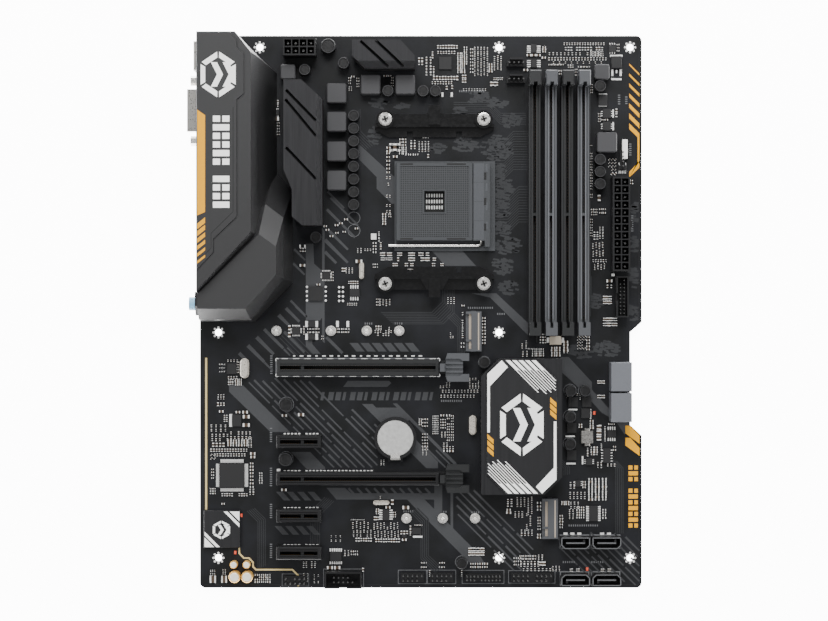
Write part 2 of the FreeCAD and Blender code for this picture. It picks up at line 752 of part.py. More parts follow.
# ---- battery -------------------------------------------------------------------------------------------------
def make_battery():
    """A round holder, the coin cell in it and the sprung clip that keeps the cell down."""
    bore = cell_radius + seat_gap
    outer = bore + holder_wall
    top = holder_floor + cell_thickness
    ring = cut(post(cell_x, cell_y, 0, outer, top + 0.2),
               [post(cell_x, cell_y, holder_floor, bore, cell_thickness + 2)])
    clip_y = cell_y - bore - moving_gap - clip_thickness
    doorway = box(cell_x - clip_width / 2 - moving_gap, cell_x + clip_width / 2 + moving_gap,
                  cell_y - outer - 5, cell_y - bore + 1.5, holder_floor, top + 2)
    pin_z = clip_pin_height
    pin_y = clip_y - 0.6
    ear_x = clip_width / 2 + moving_gap
    ear_low = pin_y - 1.3
    foot = box(cell_x - ear_x - clip_ear, cell_x + ear_x + clip_ear, ear_low, cell_y - bore - 0.3,
               0, holder_floor - 0.3)
    ears = [box(cell_x + k * ear_x - (clip_ear if k < 0 else 0), cell_x + k * ear_x + (clip_ear if k > 0 else 0),
                ear_low, cell_y - bore - 0.3, 0, pin_z + clip_ear) for k in (-1, 1)]
    ring = cut(ring, [doorway])
    ring = cut(ring, [box(cell_x - ear_x, cell_x + ear_x, ear_low - 1, cell_y - bore - 0.35,
                          holder_floor - 0.3, top + 2)])
    holder = fuse([ring, foot] + [cut(ear, [post(cell_x, cell_y, holder_floor, bore, cell_thickness + 2)])
                                  for ear in ears])
    holder = cut(holder, [rod_x(cell_x - ear_x - 2, cell_x + ear_x + 2, pin_y, pin_z,
                                clip_pin_radius + running_gap)])
    nodes["battery_holder"] = holder
    nodes["coin_cell"] = bevel_top(post(cell_x, cell_y, holder_floor, cell_radius, cell_thickness), 0.3)

    pin = rod_x(cell_x - ear_x - 1.0, cell_x + ear_x + 1.0, pin_y, pin_z, clip_pin_radius)
    half = clip_width / 2
    plate = box(cell_x - half, cell_x + half, clip_y, clip_y + clip_thickness, pin_z - 0.6, top + moving_gap)
    hook = box(cell_x - half, cell_x + half, clip_y, clip_y + clip_thickness + moving_gap + clip_hook,
               top + moving_gap, top + moving_gap + clip_thickness)
    lug = box(cell_x - half, cell_x + half, pin_y - 0.5, clip_y + 0.1, pin_z - 0.5, pin_z + 0.5)
    nodes["battery_clip"] = fuse([plate, hook, lug, pin])


# ---- power connectors ----------------------------------------------------------------------------------------
def power_connector(x, y, columns, rows, latch_x, latch_y):
    """A block of square cells with a latch ramp. latch_x and latch_y point to the ramp's side."""
    size_x = columns * power_pitch + 2 * power_wall
    size_y = rows * power_pitch + 2 * power_wall
    body = block(x, y, 0, size_x, size_y, power_height)
    cells, pins = [], []
    for i in range(columns):
        for j in range(rows):
            cx = x + (i - (columns - 1) / 2) * power_pitch
            cy = y + (j - (rows - 1) / 2) * power_pitch
            cells.append(block(cx, cy, power_floor, power_cavity, power_cavity, power_height))
            pins.append(block(cx, cy, power_floor, power_pin_side, power_pin_side, power_pin_height))
    ramp_y = y + latch_y * size_y / 2
    ramp_x = x + latch_x * size_x / 2
    ramp = block(ramp_x + latch_x * 0.5, ramp_y + latch_y * 0.5, power_height - 5.0,
                 1.4 if latch_x else 3.6, 1.4 if latch_y else 3.6, 3.0)
    return fuse([cut(body, cells), ramp]), pins


def make_power():
    atx, atx_pins = power_connector(from_right(12.34), from_top(104.4), 2, 12, 1, 0)
    cpu, cpu_pins = power_connector(55.5, from_top(7.5), 4, 2, 0, 1)
    nodes["atx_power_connector"] = atx
    nodes["cpu_power_connector"] = cpu
    nodes["power_connector_pins"] = group(atx_pins + cpu_pins)


# ---- rear connectors -----------------------------------------------------------------------------------------
def usb_cavity(face_x, y, z):
    """The opening of a type A port around its tongue, which lies flat."""
    back = face_x + usb_mouth_depth
    hollow = box(face_x - 1, back, y - usb_mouth_width / 2, y + usb_mouth_width / 2,
                 z - usb_mouth_height / 2, z + usb_mouth_height / 2)
    tongue = box(face_x + tongue_setback, back + 1, y - usb_tongue_width / 2, y + usb_tongue_width / 2,
                 z + usb_tongue_low, z + usb_tongue_high)
    return hollow.cut(tongue)


def flat_mouth(y, width, z0, z1, depth, tongue_width):
    """A flat opening in the rear face with a thin tongue along its middle."""
    hollow = box(io_face_x - 1, io_face_x + depth, y - width / 2, y + width / 2, z0, z1)
    middle = (z0 + z1) / 2
    thickness = (z1 - z0) * 0.25
    tongue = box(io_face_x + tongue_setback, io_face_x + depth + 1, y - tongue_width / 2, y + tongue_width / 2,
                 middle - thickness / 2, middle + thickness / 2)
    return hollow.cut(tongue)


def port_block(face_x, y, width, depth, height, cavities):
    body = bevel_top(box(face_x, face_x + depth, y - width / 2, y + width / 2, 0, height), port_bevel)
    return cut(body, cavities)


def make_video_port():
    """The D-shaped video port with its insert, and its two jackscrews as pieces of their own."""
    y = from_top(dvi_from_top)
    housing = box(io_face_x, io_face_x + dvi_depth, y - dvi_width / 2, y + dvi_width / 2, 0, dvi_height)
    half = dvi_shell_width / 2
    low, high = dvi_shell_low, dvi_shell_low + dvi_shell_height
    shell = [(y - half, low + dvi_shell_corner), (y - half + dvi_shell_corner, low),
             (y + half - dvi_shell_corner, low), (y + half, low + dvi_shell_corner), (y + half, high),
             (y - half, high)]
    points = [Vector(dvi_tip_x, a, b) for a, b in shell]
    outline = Part.makePolygon(points + points[:1])
    snout = Part.Face(outline).extrude(Vector(io_face_x - dvi_tip_x + 0.5, 0, 0))
    mouth_depth = io_face_x - dvi_tip_x - 0.4
    mouth = Part.Face(outline.makeOffset2D(-1.5 * metal_wall)).extrude(Vector(mouth_depth, 0, 0))
    insert = box(dvi_tip_x + tongue_setback, dvi_tip_x + mouth_depth + 1.0, y - dvi_insert_width / 2,
                 y + dvi_insert_width / 2, low + 1.7, high - 3.6)
    jack_z = (low + high) / 2
    jack_places = [y + side * jackscrew_pitch / 2 for side in (-1, 1)]
    stud_depth = 7.0
    holes = [rod_x(io_face_x - 1, io_face_x + stud_depth + 1, b, jack_z, jackscrew_stud_radius)
             for b in jack_places]
    nodes["dvi_connector"] = fuse([cut(fuse([housing, snout]), [mouth] + holes), insert])
    jacks = []
    for b in jack_places:
        corner = jackscrew_across / 2
        hexagon = [Vector(io_face_x - jackscrew_length, b + corner * math.cos(math.radians(60 * k)),
                          jack_z + corner * math.sin(math.radians(60 * k))) for k in range(6)]
        nut = Part.Face(Part.makePolygon(hexagon + hexagon[:1])).extrude(Vector(jackscrew_length, 0, 0))
        stud = rod_x(io_face_x - 0.5, io_face_x + stud_depth, b, jack_z, jackscrew_stud_radius - running_gap)
        bore = rod_x(io_face_x - jackscrew_length - 1, io_face_x - 1.0, b, jack_z, jackscrew_bore_radius)
        jacks.append(cut(fuse([nut, stud]), [bore]))
    nodes["dvi_jackscrews"] = group(jacks)


def make_rear_connectors():
    """The row of connectors that faces out of the back of the computer."""
    y = from_top(ps2_from_top)
    din = cut(rod_x(ps2_face_x - 1, ps2_face_x + 8, y, ps2_socket_height, ps2_socket_radius),
              [rod_x(ps2_face_x + 0.6, ps2_face_x + 9, y, ps2_socket_height, ps2_core_radius)])
    nodes["ps2_usb_stack"] = port_block(
        ps2_face_x, y, ps2_width, ps2_depth, ps2_height,
        [din, usb_cavity(ps2_face_x, y, lower_usb_height), usb_cavity(ps2_face_x, y, upper_usb_height)])
    make_video_port()
    y = from_top(hdmi_from_top)
    nodes["hdmi_connector"] = port_block(
        io_face_x, y, hdmi_width, hdmi_depth, hdmi_height,
        [flat_mouth(y, hdmi_mouth_width, 1.0, hdmi_height - 0.9, hdmi_depth - 4.0, hdmi_tongue_width)])
    y = from_top(usb_from_top)
    nodes["usb_stack"] = port_block(
        io_face_x, y, twin_port_width, twin_port_depth, twin_port_height,
        [usb_cavity(io_face_x, y, lower_usb_height), usb_cavity(io_face_x, y, upper_usb_height)])
    y = from_top(usb_c_from_top)
    nodes["usb_c_stack"] = port_block(
        io_face_x, y, twin_port_width, twin_port_depth, twin_port_height,
        [usb_cavity(io_face_x, y, lower_usb_height),
         flat_mouth(y, usb_c_mouth_width, usb_c_mouth_low, usb_c_mouth_high, 6.5, usb_c_tongue_width)])
    y = from_top(lan_from_top)
    mouth = box(io_face_x - 1, io_face_x + lan_mouth_depth, y - lan_mouth_width / 2, y + lan_mouth_width / 2,
                lan_mouth_low, lan_mouth_high)
    latch_way = box(io_face_x - 1, io_face_x + lan_mouth_depth, y - lan_latch_width / 2,
                    y + lan_latch_width / 2, lan_mouth_low - 1.0, lan_mouth_low + 0.5)
    nodes["lan_usb_stack"] = port_block(
        io_face_x, y, lan_width, lan_depth, lan_height,
        [fuse([mouth, latch_way]), usb_cavity(io_face_x, y, lower_usb_height),
         usb_cavity(io_face_x, y, upper_usb_height)])
    make_audio_jacks()


def make_audio_jacks():
    """Three round jacks one above the other in a block with one cut corner, bored right through."""
    y = from_top(audio_from_top)
    body = box(audio_rear_x, audio_back_x, y - audio_width / 2, y + audio_width / 2, 0, audio_height)
    low_edge = [edge for edge in body.Edges
                if edge.BoundBox.ZMin > audio_height - 1e-6 and edge.BoundBox.YMax < y]
    body = body.makeChamfer(audio_corner_cut, low_edge)
    barrels = [rod_x(audio_tip_x, audio_rear_x + 0.7, y, z, audio_barrel_radius) for z in audio_jack_heights]
    bores = [rod_x(audio_tip_x - 1, audio_back_x + 1, y, z, audio_bore_radius) for z in audio_jack_heights]
    nodes["audio_jacks"] = cut(fuse([body] + barrels), bores)


# ---- rear shroud ---------------------------------------------------------------------------------------------
def shroud_outlines():
    """Three levels of the tall part and three of the low lobe. Corners go anticlockwise."""
    y = from_top
    tall = [
        [(shroud_left, y(146.8)), (42.5, y(105.8)), (42.5, y(20.8)), (22.8, y(2.2)), (shroud_left, y(2.2))],
        [(shroud_left, y(142.8)), (34.2, y(110.4)), (34.2, y(15.0)), (22.6, y(2.2)), (shroud_left, y(2.2))],
        [(shroud_left, y(141.1)), (30.7, y(109.6)), (30.7, y(13.3)), (22.1, y(2.2)), (shroud_left, y(2.2))],
    ]
    lobe = [
        [(shroud_left, y(157.8)), (30.5, y(157.8)), (51.2, y(136.3)), (51.2, y(85.8)), (41.2, y(75.2)),
         (shroud_left, y(100.0))],
        [(shroud_left, y(156.6)), (29.6, y(156.6)), (47.4, y(134.4)), (47.4, y(101.4)), (37.6, y(94.0)),
         (shroud_left, y(126.0))],
        [(shroud_left, y(150.8)), (27.4, y(150.8)), (43.9, y(132.6)), (43.9, y(117.2)), (34.6, y(110.6)),
         (shroud_left, y(143.1))],
    ]
    return tall, lobe


def open_to_rear(outline):
    """The outline with its rear corners moved out along their own sides, past the rear connectors."""
    opened = []
    count = len(outline)
    for i, (x, y) in enumerate(outline):
        if x > shroud_left:
            opened.append((x, y))
            continue
        before, after = outline[i - 1], outline[(i + 1) % count]
        other = before if before[0] > shroud_left else after
        slope = (y - other[1]) / (x - other[0])
        opened.append((shroud_open_x, y + slope * (shroud_open_x - x)))
    return opened


def shroud_solid(shrink):
    """The shroud's outside, or with shrink above 0 the room inside it, open to the rear and below."""
    tall, lobe = shroud_outlines()

    def level(outline):
        return inset(open_to_rear(outline), shrink) if shrink else outline

    base = -1.0 if shrink else 0.0
    heights = [(base, shroud_step_height - shrink / 2, shroud_ridge_height - shrink),
               (base, lobe_step_height - shrink / 2, lobe_height - shrink)]
    pieces = []
    for outlines, (z0, z1, z2) in zip((tall, lobe), heights):
        pieces.append(tapered(level(outlines[0]), z0, level(outlines[1]), z1))
        pieces.append(tapered(level(outlines[1]), z1, level(outlines[2]), z2))
    return fuse(pieces)


def make_shroud():
    """A thin faceted cover over the rear connectors, with raised panels and three screw bosses."""
    y = from_top
    outside = shroud_solid(0)
    plateau = [(shroud_left, y(130.8)), (11.0, y(120.7)), (11.0, y(113.6)), (23.6, y(101.6)),
               (23.6, y(38.8)), (27.4, y(35.8)), (27.4, y(13.8)), (23.6, y(10.8)), (23.6, y(7.0)),
               (19.6, y(2.2)), (shroud_left, y(2.2))]
    top = shroud_ridge_height
    panel = tapered(plateau, top - 0.5, inset(plateau, shroud_plateau / 2), top + shroud_plateau)
    shell = cut(outside, [shroud_solid(shroud_wall)])
    bosses = [post(bx, by, 0, shroud_boss_radius, lobe_height).common(outside) for bx, by in shroud_screws]
    shell = fuse([shell, panel] + bosses)
    nodes["io_shroud"] = cut(shell, [m3_hole(bx, by, 0).fuse(post(bx, by, -1, m3_radius + running_gap, 1.5))
                                     for bx, by in shroud_screws])


# ---- heat sinks ------------------------------------------------------------------------------------------------
def groove(start, end, top):
    """A straight saw cut across the top of a sink, from one point to another."""
    dx, dy = end[0] - start[0], end[1] - start[1]
    length = math.hypot(dx, dy)
    px, py = -dy / length * sink_groove_width / 2, dx / length * sink_groove_width / 2
    corners = [(start[0] + px, start[1] + py), (start[0] - px, start[1] - py),
               (end[0] - px, end[1] - py), (end[0] + px, end[1] + py)]
    return prism(corners, top - sink_groove_depth, top + 1)


def make_vrm_sinks():
    """Two sawn aluminium blocks over the power stages, their pads and the transistors below them."""
    y = from_top
    left = [(47.6, y(26.8)), (47.6, y(75.3)), (52.1, y(86.4)), (52.1, y(100.8)), (57.6, y(105.6)),
            (68.4, y(105.6)), (68.4, y(37.2)), (57.2, y(26.8))]
    top = vrm_sink_left_height
    body = prism(left, sink_base, top)
    ledge = side_prism([(65.4, top + 0.1), (68.6, top + 0.1), (68.6, top - 3.0), (67.6, top - 3.0)],
                       y(107.0), y(26.0))
    grooves = [groove(a, b, top) for a, b in (
        ((49.0, y(32.5)), (65.1, y(49.1))), ((48.6, y(37.5)), (65.1, y(57.4))),
        ((49.0, y(63.5)), (65.1, y(80.6))))]
    holes = [m3_hole(a, b, sink_base).fuse(post(a, b, sink_base - 1, m3_radius + running_gap, 2))
             for a, b in left_sink_screws]
    nodes["vrm_heatsink_left"] = cut(body, [ledge] + grooves + holes)

    upper = [(84.5, y(4.6)), (84.5, y(13.3)), (91.6, y(20.0)), (118.6, y(20.0)), (118.6, y(13.3)),
             (110.7, y(4.6))]
    top = vrm_sink_top_height
    body = prism(upper, sink_base, top)
    nose = Part.Face(Part.makePolygon([Vector(80, y(16.0), top + 0.1), Vector(80, y(20.2), top + 0.1),
                                       Vector(80, y(20.2), top - 4.0), Vector(80, y(16.0), top + 0.1)]))
    grooves = [groove(a, b, top) for a, b in (
        ((89.1, y(5.4)), (104.1, y(19.1))), ((97.4, y(5.0)), (112.4, y(19.1))))]
    holes = [m3_hole(a, b, sink_base).fuse(post(a, b, sink_base - 1, m3_radius + running_gap, 2))
             for a, b in top_sink_screws]
    nodes["vrm_heatsink_top"] = cut(body, [nose.extrude(Vector(45, 0, 0))] + grooves + holes)

    mosfets = [(61.8, y(41.0 + 7.4 * k)) for k in range(8)]
    mosfets += [(95.6 + 5.9 * k, y(12.6)) for k in range(3)]
    covered = [block(a, b, 0, 5.0, 6.0, mosfet_height) for a, b in mosfets]
    loose = [(206.0, 106.0 - 3.5), (213.5, 102.5), (213.0, 96.4), (205.2, 88.3), (205.2, 73.2)]
    nodes["vrm_mosfets"] = group(covered + [block(a, b, 0, 5.1, 5.4, mosfet_height) for a, b in loose])
    strips = [box(59.3, 64.3, y(96.0), y(38.0), mosfet_height, sink_base),
              box(93.1, 109.9, y(15.6), y(9.6), mosfet_height, sink_base),
              block(chipset_x, chipset_y, chipset_package_height, chipset_package - 3, chipset_package - 3,
                    sink_base - chipset_package_height)]
    nodes["thermal_pads"] = group(strips)


def cut_corner_outline(half_x, half_y, small, large):
    """A rectangle about the chipset with two small and two large cut corners, the same after half a turn."""
    half_outline = [(-half_x, half_y - small), (-half_x, -half_y + large), (-half_x + large, -half_y)]
    other = [(-a, -b) for a, b in half_outline]
    first = [(half_x - small, -half_y)]
    second = [(-half_x + small, half_y)]
    ring = half_outline + first + [other[0]] + other[1:] + second
    return [(chipset_x + a, chipset_y + b) for a, b in ring]


def make_chipset():
    """The chipset's sink with ribbed sides, and the printed plate on its top."""
    outline = cut_corner_outline(chipset_half_x, chipset_half_y, 9.6, 0.6)
    body = prism(outline, sink_base, chipset_sink_top)
    legs = [post(a, b, 0, 3.0, sink_base + 0.5) for a, b in chipset_screws]
    fins = []
    count = int((2 * chipset_half_y - 24.0) / chipset_fin_pitch)
    for k in range(count):
        fin_y = chipset_y + (k - (count - 1) / 2) * chipset_fin_pitch
        for side in (-1, 1):
            fins.append(block(chipset_x + side * chipset_half_x, fin_y, sink_base - 1, 2 * chipset_fin_depth,
                              chipset_fin_gap, chipset_sink_top - chipset_rim - sink_base + 1))
    holes = [post(a, b, -1, m3_radius + running_gap, sink_base + m3_grip + moving_gap + 1)
             for a, b in chipset_screws]
    nodes["chipset_heatsink"] = cut(fuse([body] + legs), fins + holes)
    plate = cut_corner_outline(faceplate_half_x, faceplate_half_y, 8.4, 10.8)
    nodes["chipset_faceplate"] = bevel_top(
        prism(plate, chipset_sink_top, chipset_sink_top + faceplate_thickness), 0.25)
    chips = [block(chipset_x, chipset_y, 0, chipset_package, chipset_package, chipset_package_height),
             block(17.7, 62.1, 0, 14.0, 14.0, 1.5),
             block(102.7, 40.4, 0, 3.9, 6.0, 1.5)]
    nodes["controller_chips"] = group([bevel_top(chip, 0.2) for chip in chips])


# ---- data connectors -------------------------------------------------------------------------------------------
def sata_outline(x, y, half_x, half_y, chamfer, side):
    """A flat connector's outline with two corners cut on the side that side points to."""
    return [(x - half_x, y - side * half_y), (x + half_x, y - side * half_y),
            (x + half_x, y + side * (half_y - chamfer)), (x + half_x - chamfer, y + side * half_y),
            (x - half_x + chamfer, y + side * half_y), (x - half_x, y + side * (half_y - chamfer))]


def make_sata():
    """Four upright drive ports, and two angled blocks with two ports each that face the front edge."""
    uprights = []
    tongue_height = drive_height - drive_floor - 0.8
    for x, y, side in ((206.8, 25.5, -1), (223.9, 25.5, -1), (206.8, 5.2, 1), (223.9, 5.2, 1)):
        body = prism(sata_outline(x, y, drive_half_x, drive_half_y, drive_chamfer, side), 0, drive_height)
        room = prism(sata_outline(x, y, drive_half_x - drive_wall, drive_half_y - drive_wall,
                                  drive_chamfer - drive_wall / 2, side), drive_floor, drive_height + 1)
        tongue = block(x, y, drive_floor, drive_tongue_length, drive_tongue_thickness, tongue_height)
        key = block(x - side * (drive_tongue_length / 2 - 0.6), y - side * 1.1, drive_floor,
                    drive_tongue_thickness, 1.6, tongue_height)
        uprights.append(fuse([cut(body, [room]), tongue, key]))
    nodes["sata_ports_vertical"] = group(uprights)

    x0 = from_right(notch_depth) - angled_drive_depth - 0.2
    x1 = x0 + angled_drive_depth
    half_room = angled_drive_width / 2 - 1.3
    half_tongue = drive_tongue_length / 2
    angled = []
    for y in (116.8, 100.0):
        body = bevel_top(box(x0, x1, y - angled_drive_width / 2, y + angled_drive_width / 2,
                             0, angled_drive_height), 0.3)
        rooms = []
        for z in angled_drive_levels:
            room = box(x0 + 4.0, x1 + 1, y - half_room, y + half_room, z - angled_drive_room / 2,
                       z + angled_drive_room / 2)
            tongue = box(x0 + 3.0, x1 - 0.8, y - half_tongue, y + half_tongue, z - 0.2,
                         z - 0.2 + drive_tongue_thickness)
            key = box(x0 + 3.0, x1 - 0.8, y + half_tongue - 1.2, y + half_tongue, z - 1.4, z)
            rooms.append(room.cut(fuse([tongue, key])))
        angled.append(cut(body, rooms))
    nodes["sata_ports_angled"] = group(angled)


def pin_grid(x, y, columns, rows, pitch, base_z, height, side, skipped=()):
    """Square header pins around a centre. skipped lists (column, row) places that are left empty."""
    pins = []
    for i in range(columns):
        for j in range(rows):
            if (i, j) in skipped:
                continue
            px = x + (i - (columns - 1) / 2) * pitch
            py = y + (j - (rows - 1) / 2) * pitch
            pins.append(block(px, py, base_z, side, side, height))
    return pins


def box_header(x, y, length_x, length_y, key):
    """An open-topped shell round two rows of pins, with the key's notch at the side that key points to."""
    room_x, room_y = length_x - 2 * box_header_wall, length_y - 2 * box_header_wall
    room = block(x, y, box_header_floor, room_x, room_y, box_header_height)
    notch_x, notch_y = x + key[0] * room_x / 2, y + key[1] * room_y / 2
    notch = block(notch_x, notch_y, 2 * box_header_floor, 4.2 if key[1] else 3.0, 4.2 if key[0] else 3.0,
                  box_header_height)
    return cut(block(x, y, 0, length_x, length_y, box_header_height), [room, notch])


def make_headers():
    """Boxed and open pin headers along the lower edge, and the fan and lighting headers."""
    pins = []
    serial_x, serial_y = 79.3, 5.2
    serial = box_header(serial_x, serial_y, 20.2, 9.0, (0, -1))
    pins += pin_grid(serial_x, serial_y, 5, 2, header_pitch, box_header_floor, header_pin_height,
                     header_pin_side, {(4, 1)})
    usb3_x, usb3_y = from_right(11.4), from_top(144.2)
    usb3 = box_header(usb3_x, usb3_y, 6.8, 22.6, (-1, 0))
    pins += pin_grid(usb3_x, usb3_y, 2, 10, fine_pitch, box_header_floor, header_pin_height, fine_pin_side,
                     {(0, 9)})
    nodes["box_headers"] = group([serial, usb3])

    open_headers = [(52.7, 4.3, 5, 2, header_pitch, {(1, 1)}), (117.3, 6.0, 5, 2, header_pitch, {(4, 0)}),
                    (133.4, 6.0, 5, 2, header_pitch, {(4, 0)}), (156.3, 6.0, 10, 2, fine_pitch, {(3, 0)}),
                    (183.2, 6.0, 9, 2, header_pitch, {(4, 0), (4, 1), (8, 0)})]
    bases = []
    for x, y, columns, rows, pitch, skipped in open_headers:
        bases.append(block(x, y, 0, columns * pitch, rows * pitch, header_base_height))
        pins += pin_grid(x, y, columns, rows, pitch, header_base_height, header_pin_height, header_pin_side,
                         skipped)
    for x, y in ((174.3, from_top(15.6)), (174.3, from_top(24.6))):
        base = block(x, y, 0, 4 * header_pitch, 3.4, fan_base_height)
        guard = block(x, y + 2.1, 0, 7.2, 1.0, fan_guard_height)
        bases.append(fuse([base, guard]))
        pins += pin_grid(x, y, 4, 1, header_pitch, fan_base_height, header_pin_height, header_pin_side)
    strip_x, strip_y = from_right(10.9), from_top(68.5)
    bases.append(block(strip_x, strip_y, 0, header_pitch, 4 * header_pitch, header_base_height))
    pins += pin_grid(strip_x, strip_y, 1, 4, header_pitch, header_base_height, header_pin_height,
                     header_pin_side)
    nodes["pin_headers"] = group(bases)
    nodes["header_pins"] = group(pins)


# ---- power parts -----------------------------------------------------------------------------------------------
def make_chokes():
    y = from_top
    places = [(75.6, y(d), choke_side) for d in (32.3, 48.0, 64.3, 80.3)]
    places += [(94.3, y(27.6), choke_side), (113.4, y(27.6), choke_side)]
    places += [(48.9, y(20.6), 8.2), (from_right(22.4), y(20.6), 8.3), (from_right(19.7), y(59.3), 11.0)]
    chokes = []
    for a, b, side in places:
        shape = round_upright_edges(block(a, b, 0, side, side, choke_height), 1.2)
        chokes.append(bevel_top(shape, 0.5))
    nodes["power_chokes"] = group(chokes)


def can(x, y, radius, height):
    """A round capacitor can with a crimp near its foot and a pressed rim."""
    profile = [(0, 0), (radius, 0), (radius, 1.0), (radius - can_crimp, 1.3), (radius, 1.6), (radius, height - 0.4),
               (radius - 0.3, height), (radius - 0.7, height), (radius - 0.9, height - 0.2), (0, height - 0.2)]
    points = [Vector(x + r, y, z) for r, z in profile]
    face = Part.Face(Part.makePolygon(points + points[:1]))
    return face.revolve(Vector(x, y, 0), Vector(0, 0, 1), 360)


def make_capacitors():
    y = from_top
    small = can_radius
    cans = [(85.0, y(44.6 + 6.99 * k), small) for k in range(8)]
    cans += [(71.0, y(6.4), 4.0), (58.1, y(19.4), small), (79.4, y(15.8), small), (64.2, y(111.4), small),
             (103.8, y(31.0), small), (123.1, y(31.1), small), (129.9, y(31.1), small)]
    cans += [(from_right(23.4), y(d), small) for d in (28.3, 68.7, 75.4, 82.1)]
    cans += [(47.7, 101.3, 3.7), (47.5, 71.3, 3.7), (144.4, 14.2, small), (204.3, 109.0, small),
             (212.3, 109.0, small), (204.0, 94.6, small), (204.0, 79.6, small), (156.9, 124.6, small)]
    nodes["solid_capacitors"] = group([can(a, b, r, can_height) for a, b, r in cans])
    audio = [(19.0, 13.2, 2.1, 5.4), (26.0, 13.2, 2.1, 5.4), (19.5, 6.7, small, can_height),
             (26.4, 6.7, small, can_height)]
    nodes["audio_capacitors"] = group([can(*values) for values in audio])


def make_audio_shield():
    """The pressed cover over the sound chip, which doesn't touch the chip."""
    x0, x1, y0, y1 = 2.2, 22.4, 22.2, 42.8
    outer = bevel_top(box(x0, x1, y0, y1, 0, audio_shield_height), 0.3)
    nodes["audio_shield"] = cut(outer, [box(x0 + metal_wall, x1 - metal_wall, y0 + metal_wall,
                                            y1 - metal_wall, -1, audio_shield_height - metal_wall)])


def make_tails():
    """The longest soldered connector tails, which carry the board when it lies on a table."""
    y = from_top
    places = [(8.0, y(10.0)), (8.0, y(152.0)), (14.0, y(60.0)), (6.0, 8.0), (52.7, 4.3), (79.3, 5.2),
              (133.4, 6.0), (183.2, 6.0), (223.9, 5.2), (from_right(8.0), 25.5), (from_right(12.34), y(80.0)),
              (from_right(12.34), y(128.0)), (dimm_centres[-1], y(26.0)), (hole_top_left_x + 20.0, y(5.0)),
              (dimm_centres[0], y(164.0)), (cell_x, cell_y)]
    nodes["through_hole_tails"] = group([
        post(a, b, -board_thickness - under_board_height, tail_radius, under_board_height) for a, b in places])


def export():
    """Moves every node so that the origin is below the middle of the whole part, and writes the files."""
    rear = min(dvi_tip_x, 0.0)
    shift = Vector(-(board_width + rear) / 2, -board_length / 2, board_thickness + under_board_height)
    os.makedirs("parts", exist_ok=True)
    for name, shape in nodes.items():
        moved = shape.copy()
        moved.translate(shift)
        moved.exportStep(f"parts/{name}.step")
    print(len(nodes), "nodes, shift", shift)


make_pcb()
make_m3_screws()
make_socket()
make_cooler_mount()
for index, centre in enumerate(dimm_centres):
    make_dimm(index + 1, centre)
make_card_slots()
make_m2()
make_battery()
make_power()
make_rear_connectors()
make_shroud()
make_vrm_sinks()
make_chipset()
make_sata()
make_headers()
make_chokes()
make_capacitors()
make_audio_shield()
make_tails()
export()
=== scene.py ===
"""The looks of a full-size ATX desktop motherboard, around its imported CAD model.

Lengths are millimetres. Places are measured from the lower rear corner of the bare board's top face, with X
towards the front edge, Y towards the processor edge and Z out of the component side.
"""
import math
import random

import bpy
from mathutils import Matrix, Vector


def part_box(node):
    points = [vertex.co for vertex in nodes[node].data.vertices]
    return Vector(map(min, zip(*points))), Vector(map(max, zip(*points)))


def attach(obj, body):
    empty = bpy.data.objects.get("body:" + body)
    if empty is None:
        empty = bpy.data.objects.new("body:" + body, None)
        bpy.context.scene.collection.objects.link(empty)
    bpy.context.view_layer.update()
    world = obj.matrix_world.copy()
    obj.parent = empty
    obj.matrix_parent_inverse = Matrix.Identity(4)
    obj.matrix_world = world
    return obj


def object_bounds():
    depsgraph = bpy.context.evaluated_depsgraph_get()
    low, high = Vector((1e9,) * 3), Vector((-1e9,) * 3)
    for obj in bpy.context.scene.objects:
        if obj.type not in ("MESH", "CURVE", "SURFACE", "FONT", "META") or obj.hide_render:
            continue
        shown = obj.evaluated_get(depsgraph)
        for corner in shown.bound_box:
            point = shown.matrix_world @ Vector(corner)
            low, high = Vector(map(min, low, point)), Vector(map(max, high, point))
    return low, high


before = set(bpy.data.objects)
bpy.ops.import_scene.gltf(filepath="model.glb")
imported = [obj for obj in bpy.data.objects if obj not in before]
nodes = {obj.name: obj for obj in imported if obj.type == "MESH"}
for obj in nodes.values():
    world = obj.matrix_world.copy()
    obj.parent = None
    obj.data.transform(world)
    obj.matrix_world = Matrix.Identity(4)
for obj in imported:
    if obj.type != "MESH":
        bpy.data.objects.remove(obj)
cad_bounds = [list(corner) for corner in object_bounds()]

MM = 0.001
pcb_low, pcb_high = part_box("pcb")
corner = Vector((pcb_low.x, pcb_low.y, pcb_high.z))
board_width = (pcb_high.x - pcb_low.x) / MM
board_length = (pcb_high.y - pcb_low.y) / MM
board_under = (pcb_low.z - pcb_high.z) / MM
ink_height = 0.02
chance = random.Random(7)
camera_place = (118.16, 153.1, 1150.0)
camera_lens = 90.55
sky_strength = 0.26
floor_glow = 11.0
# the upright drive ports: the middle of each, and the side whose two corners are cut off
drive_ports = ((206.8, 25.5, -1), (223.9, 25.5, -1), (206.8, 5.2, 1), (223.9, 5.2, 1))


def extent(node):
    """The lowest and highest corner of a CAD node, in millimetres on the board."""
    low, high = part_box(node)
    return (low - corner) / MM, (high - corner) / MM


def from_top(distance):
    return board_length - distance


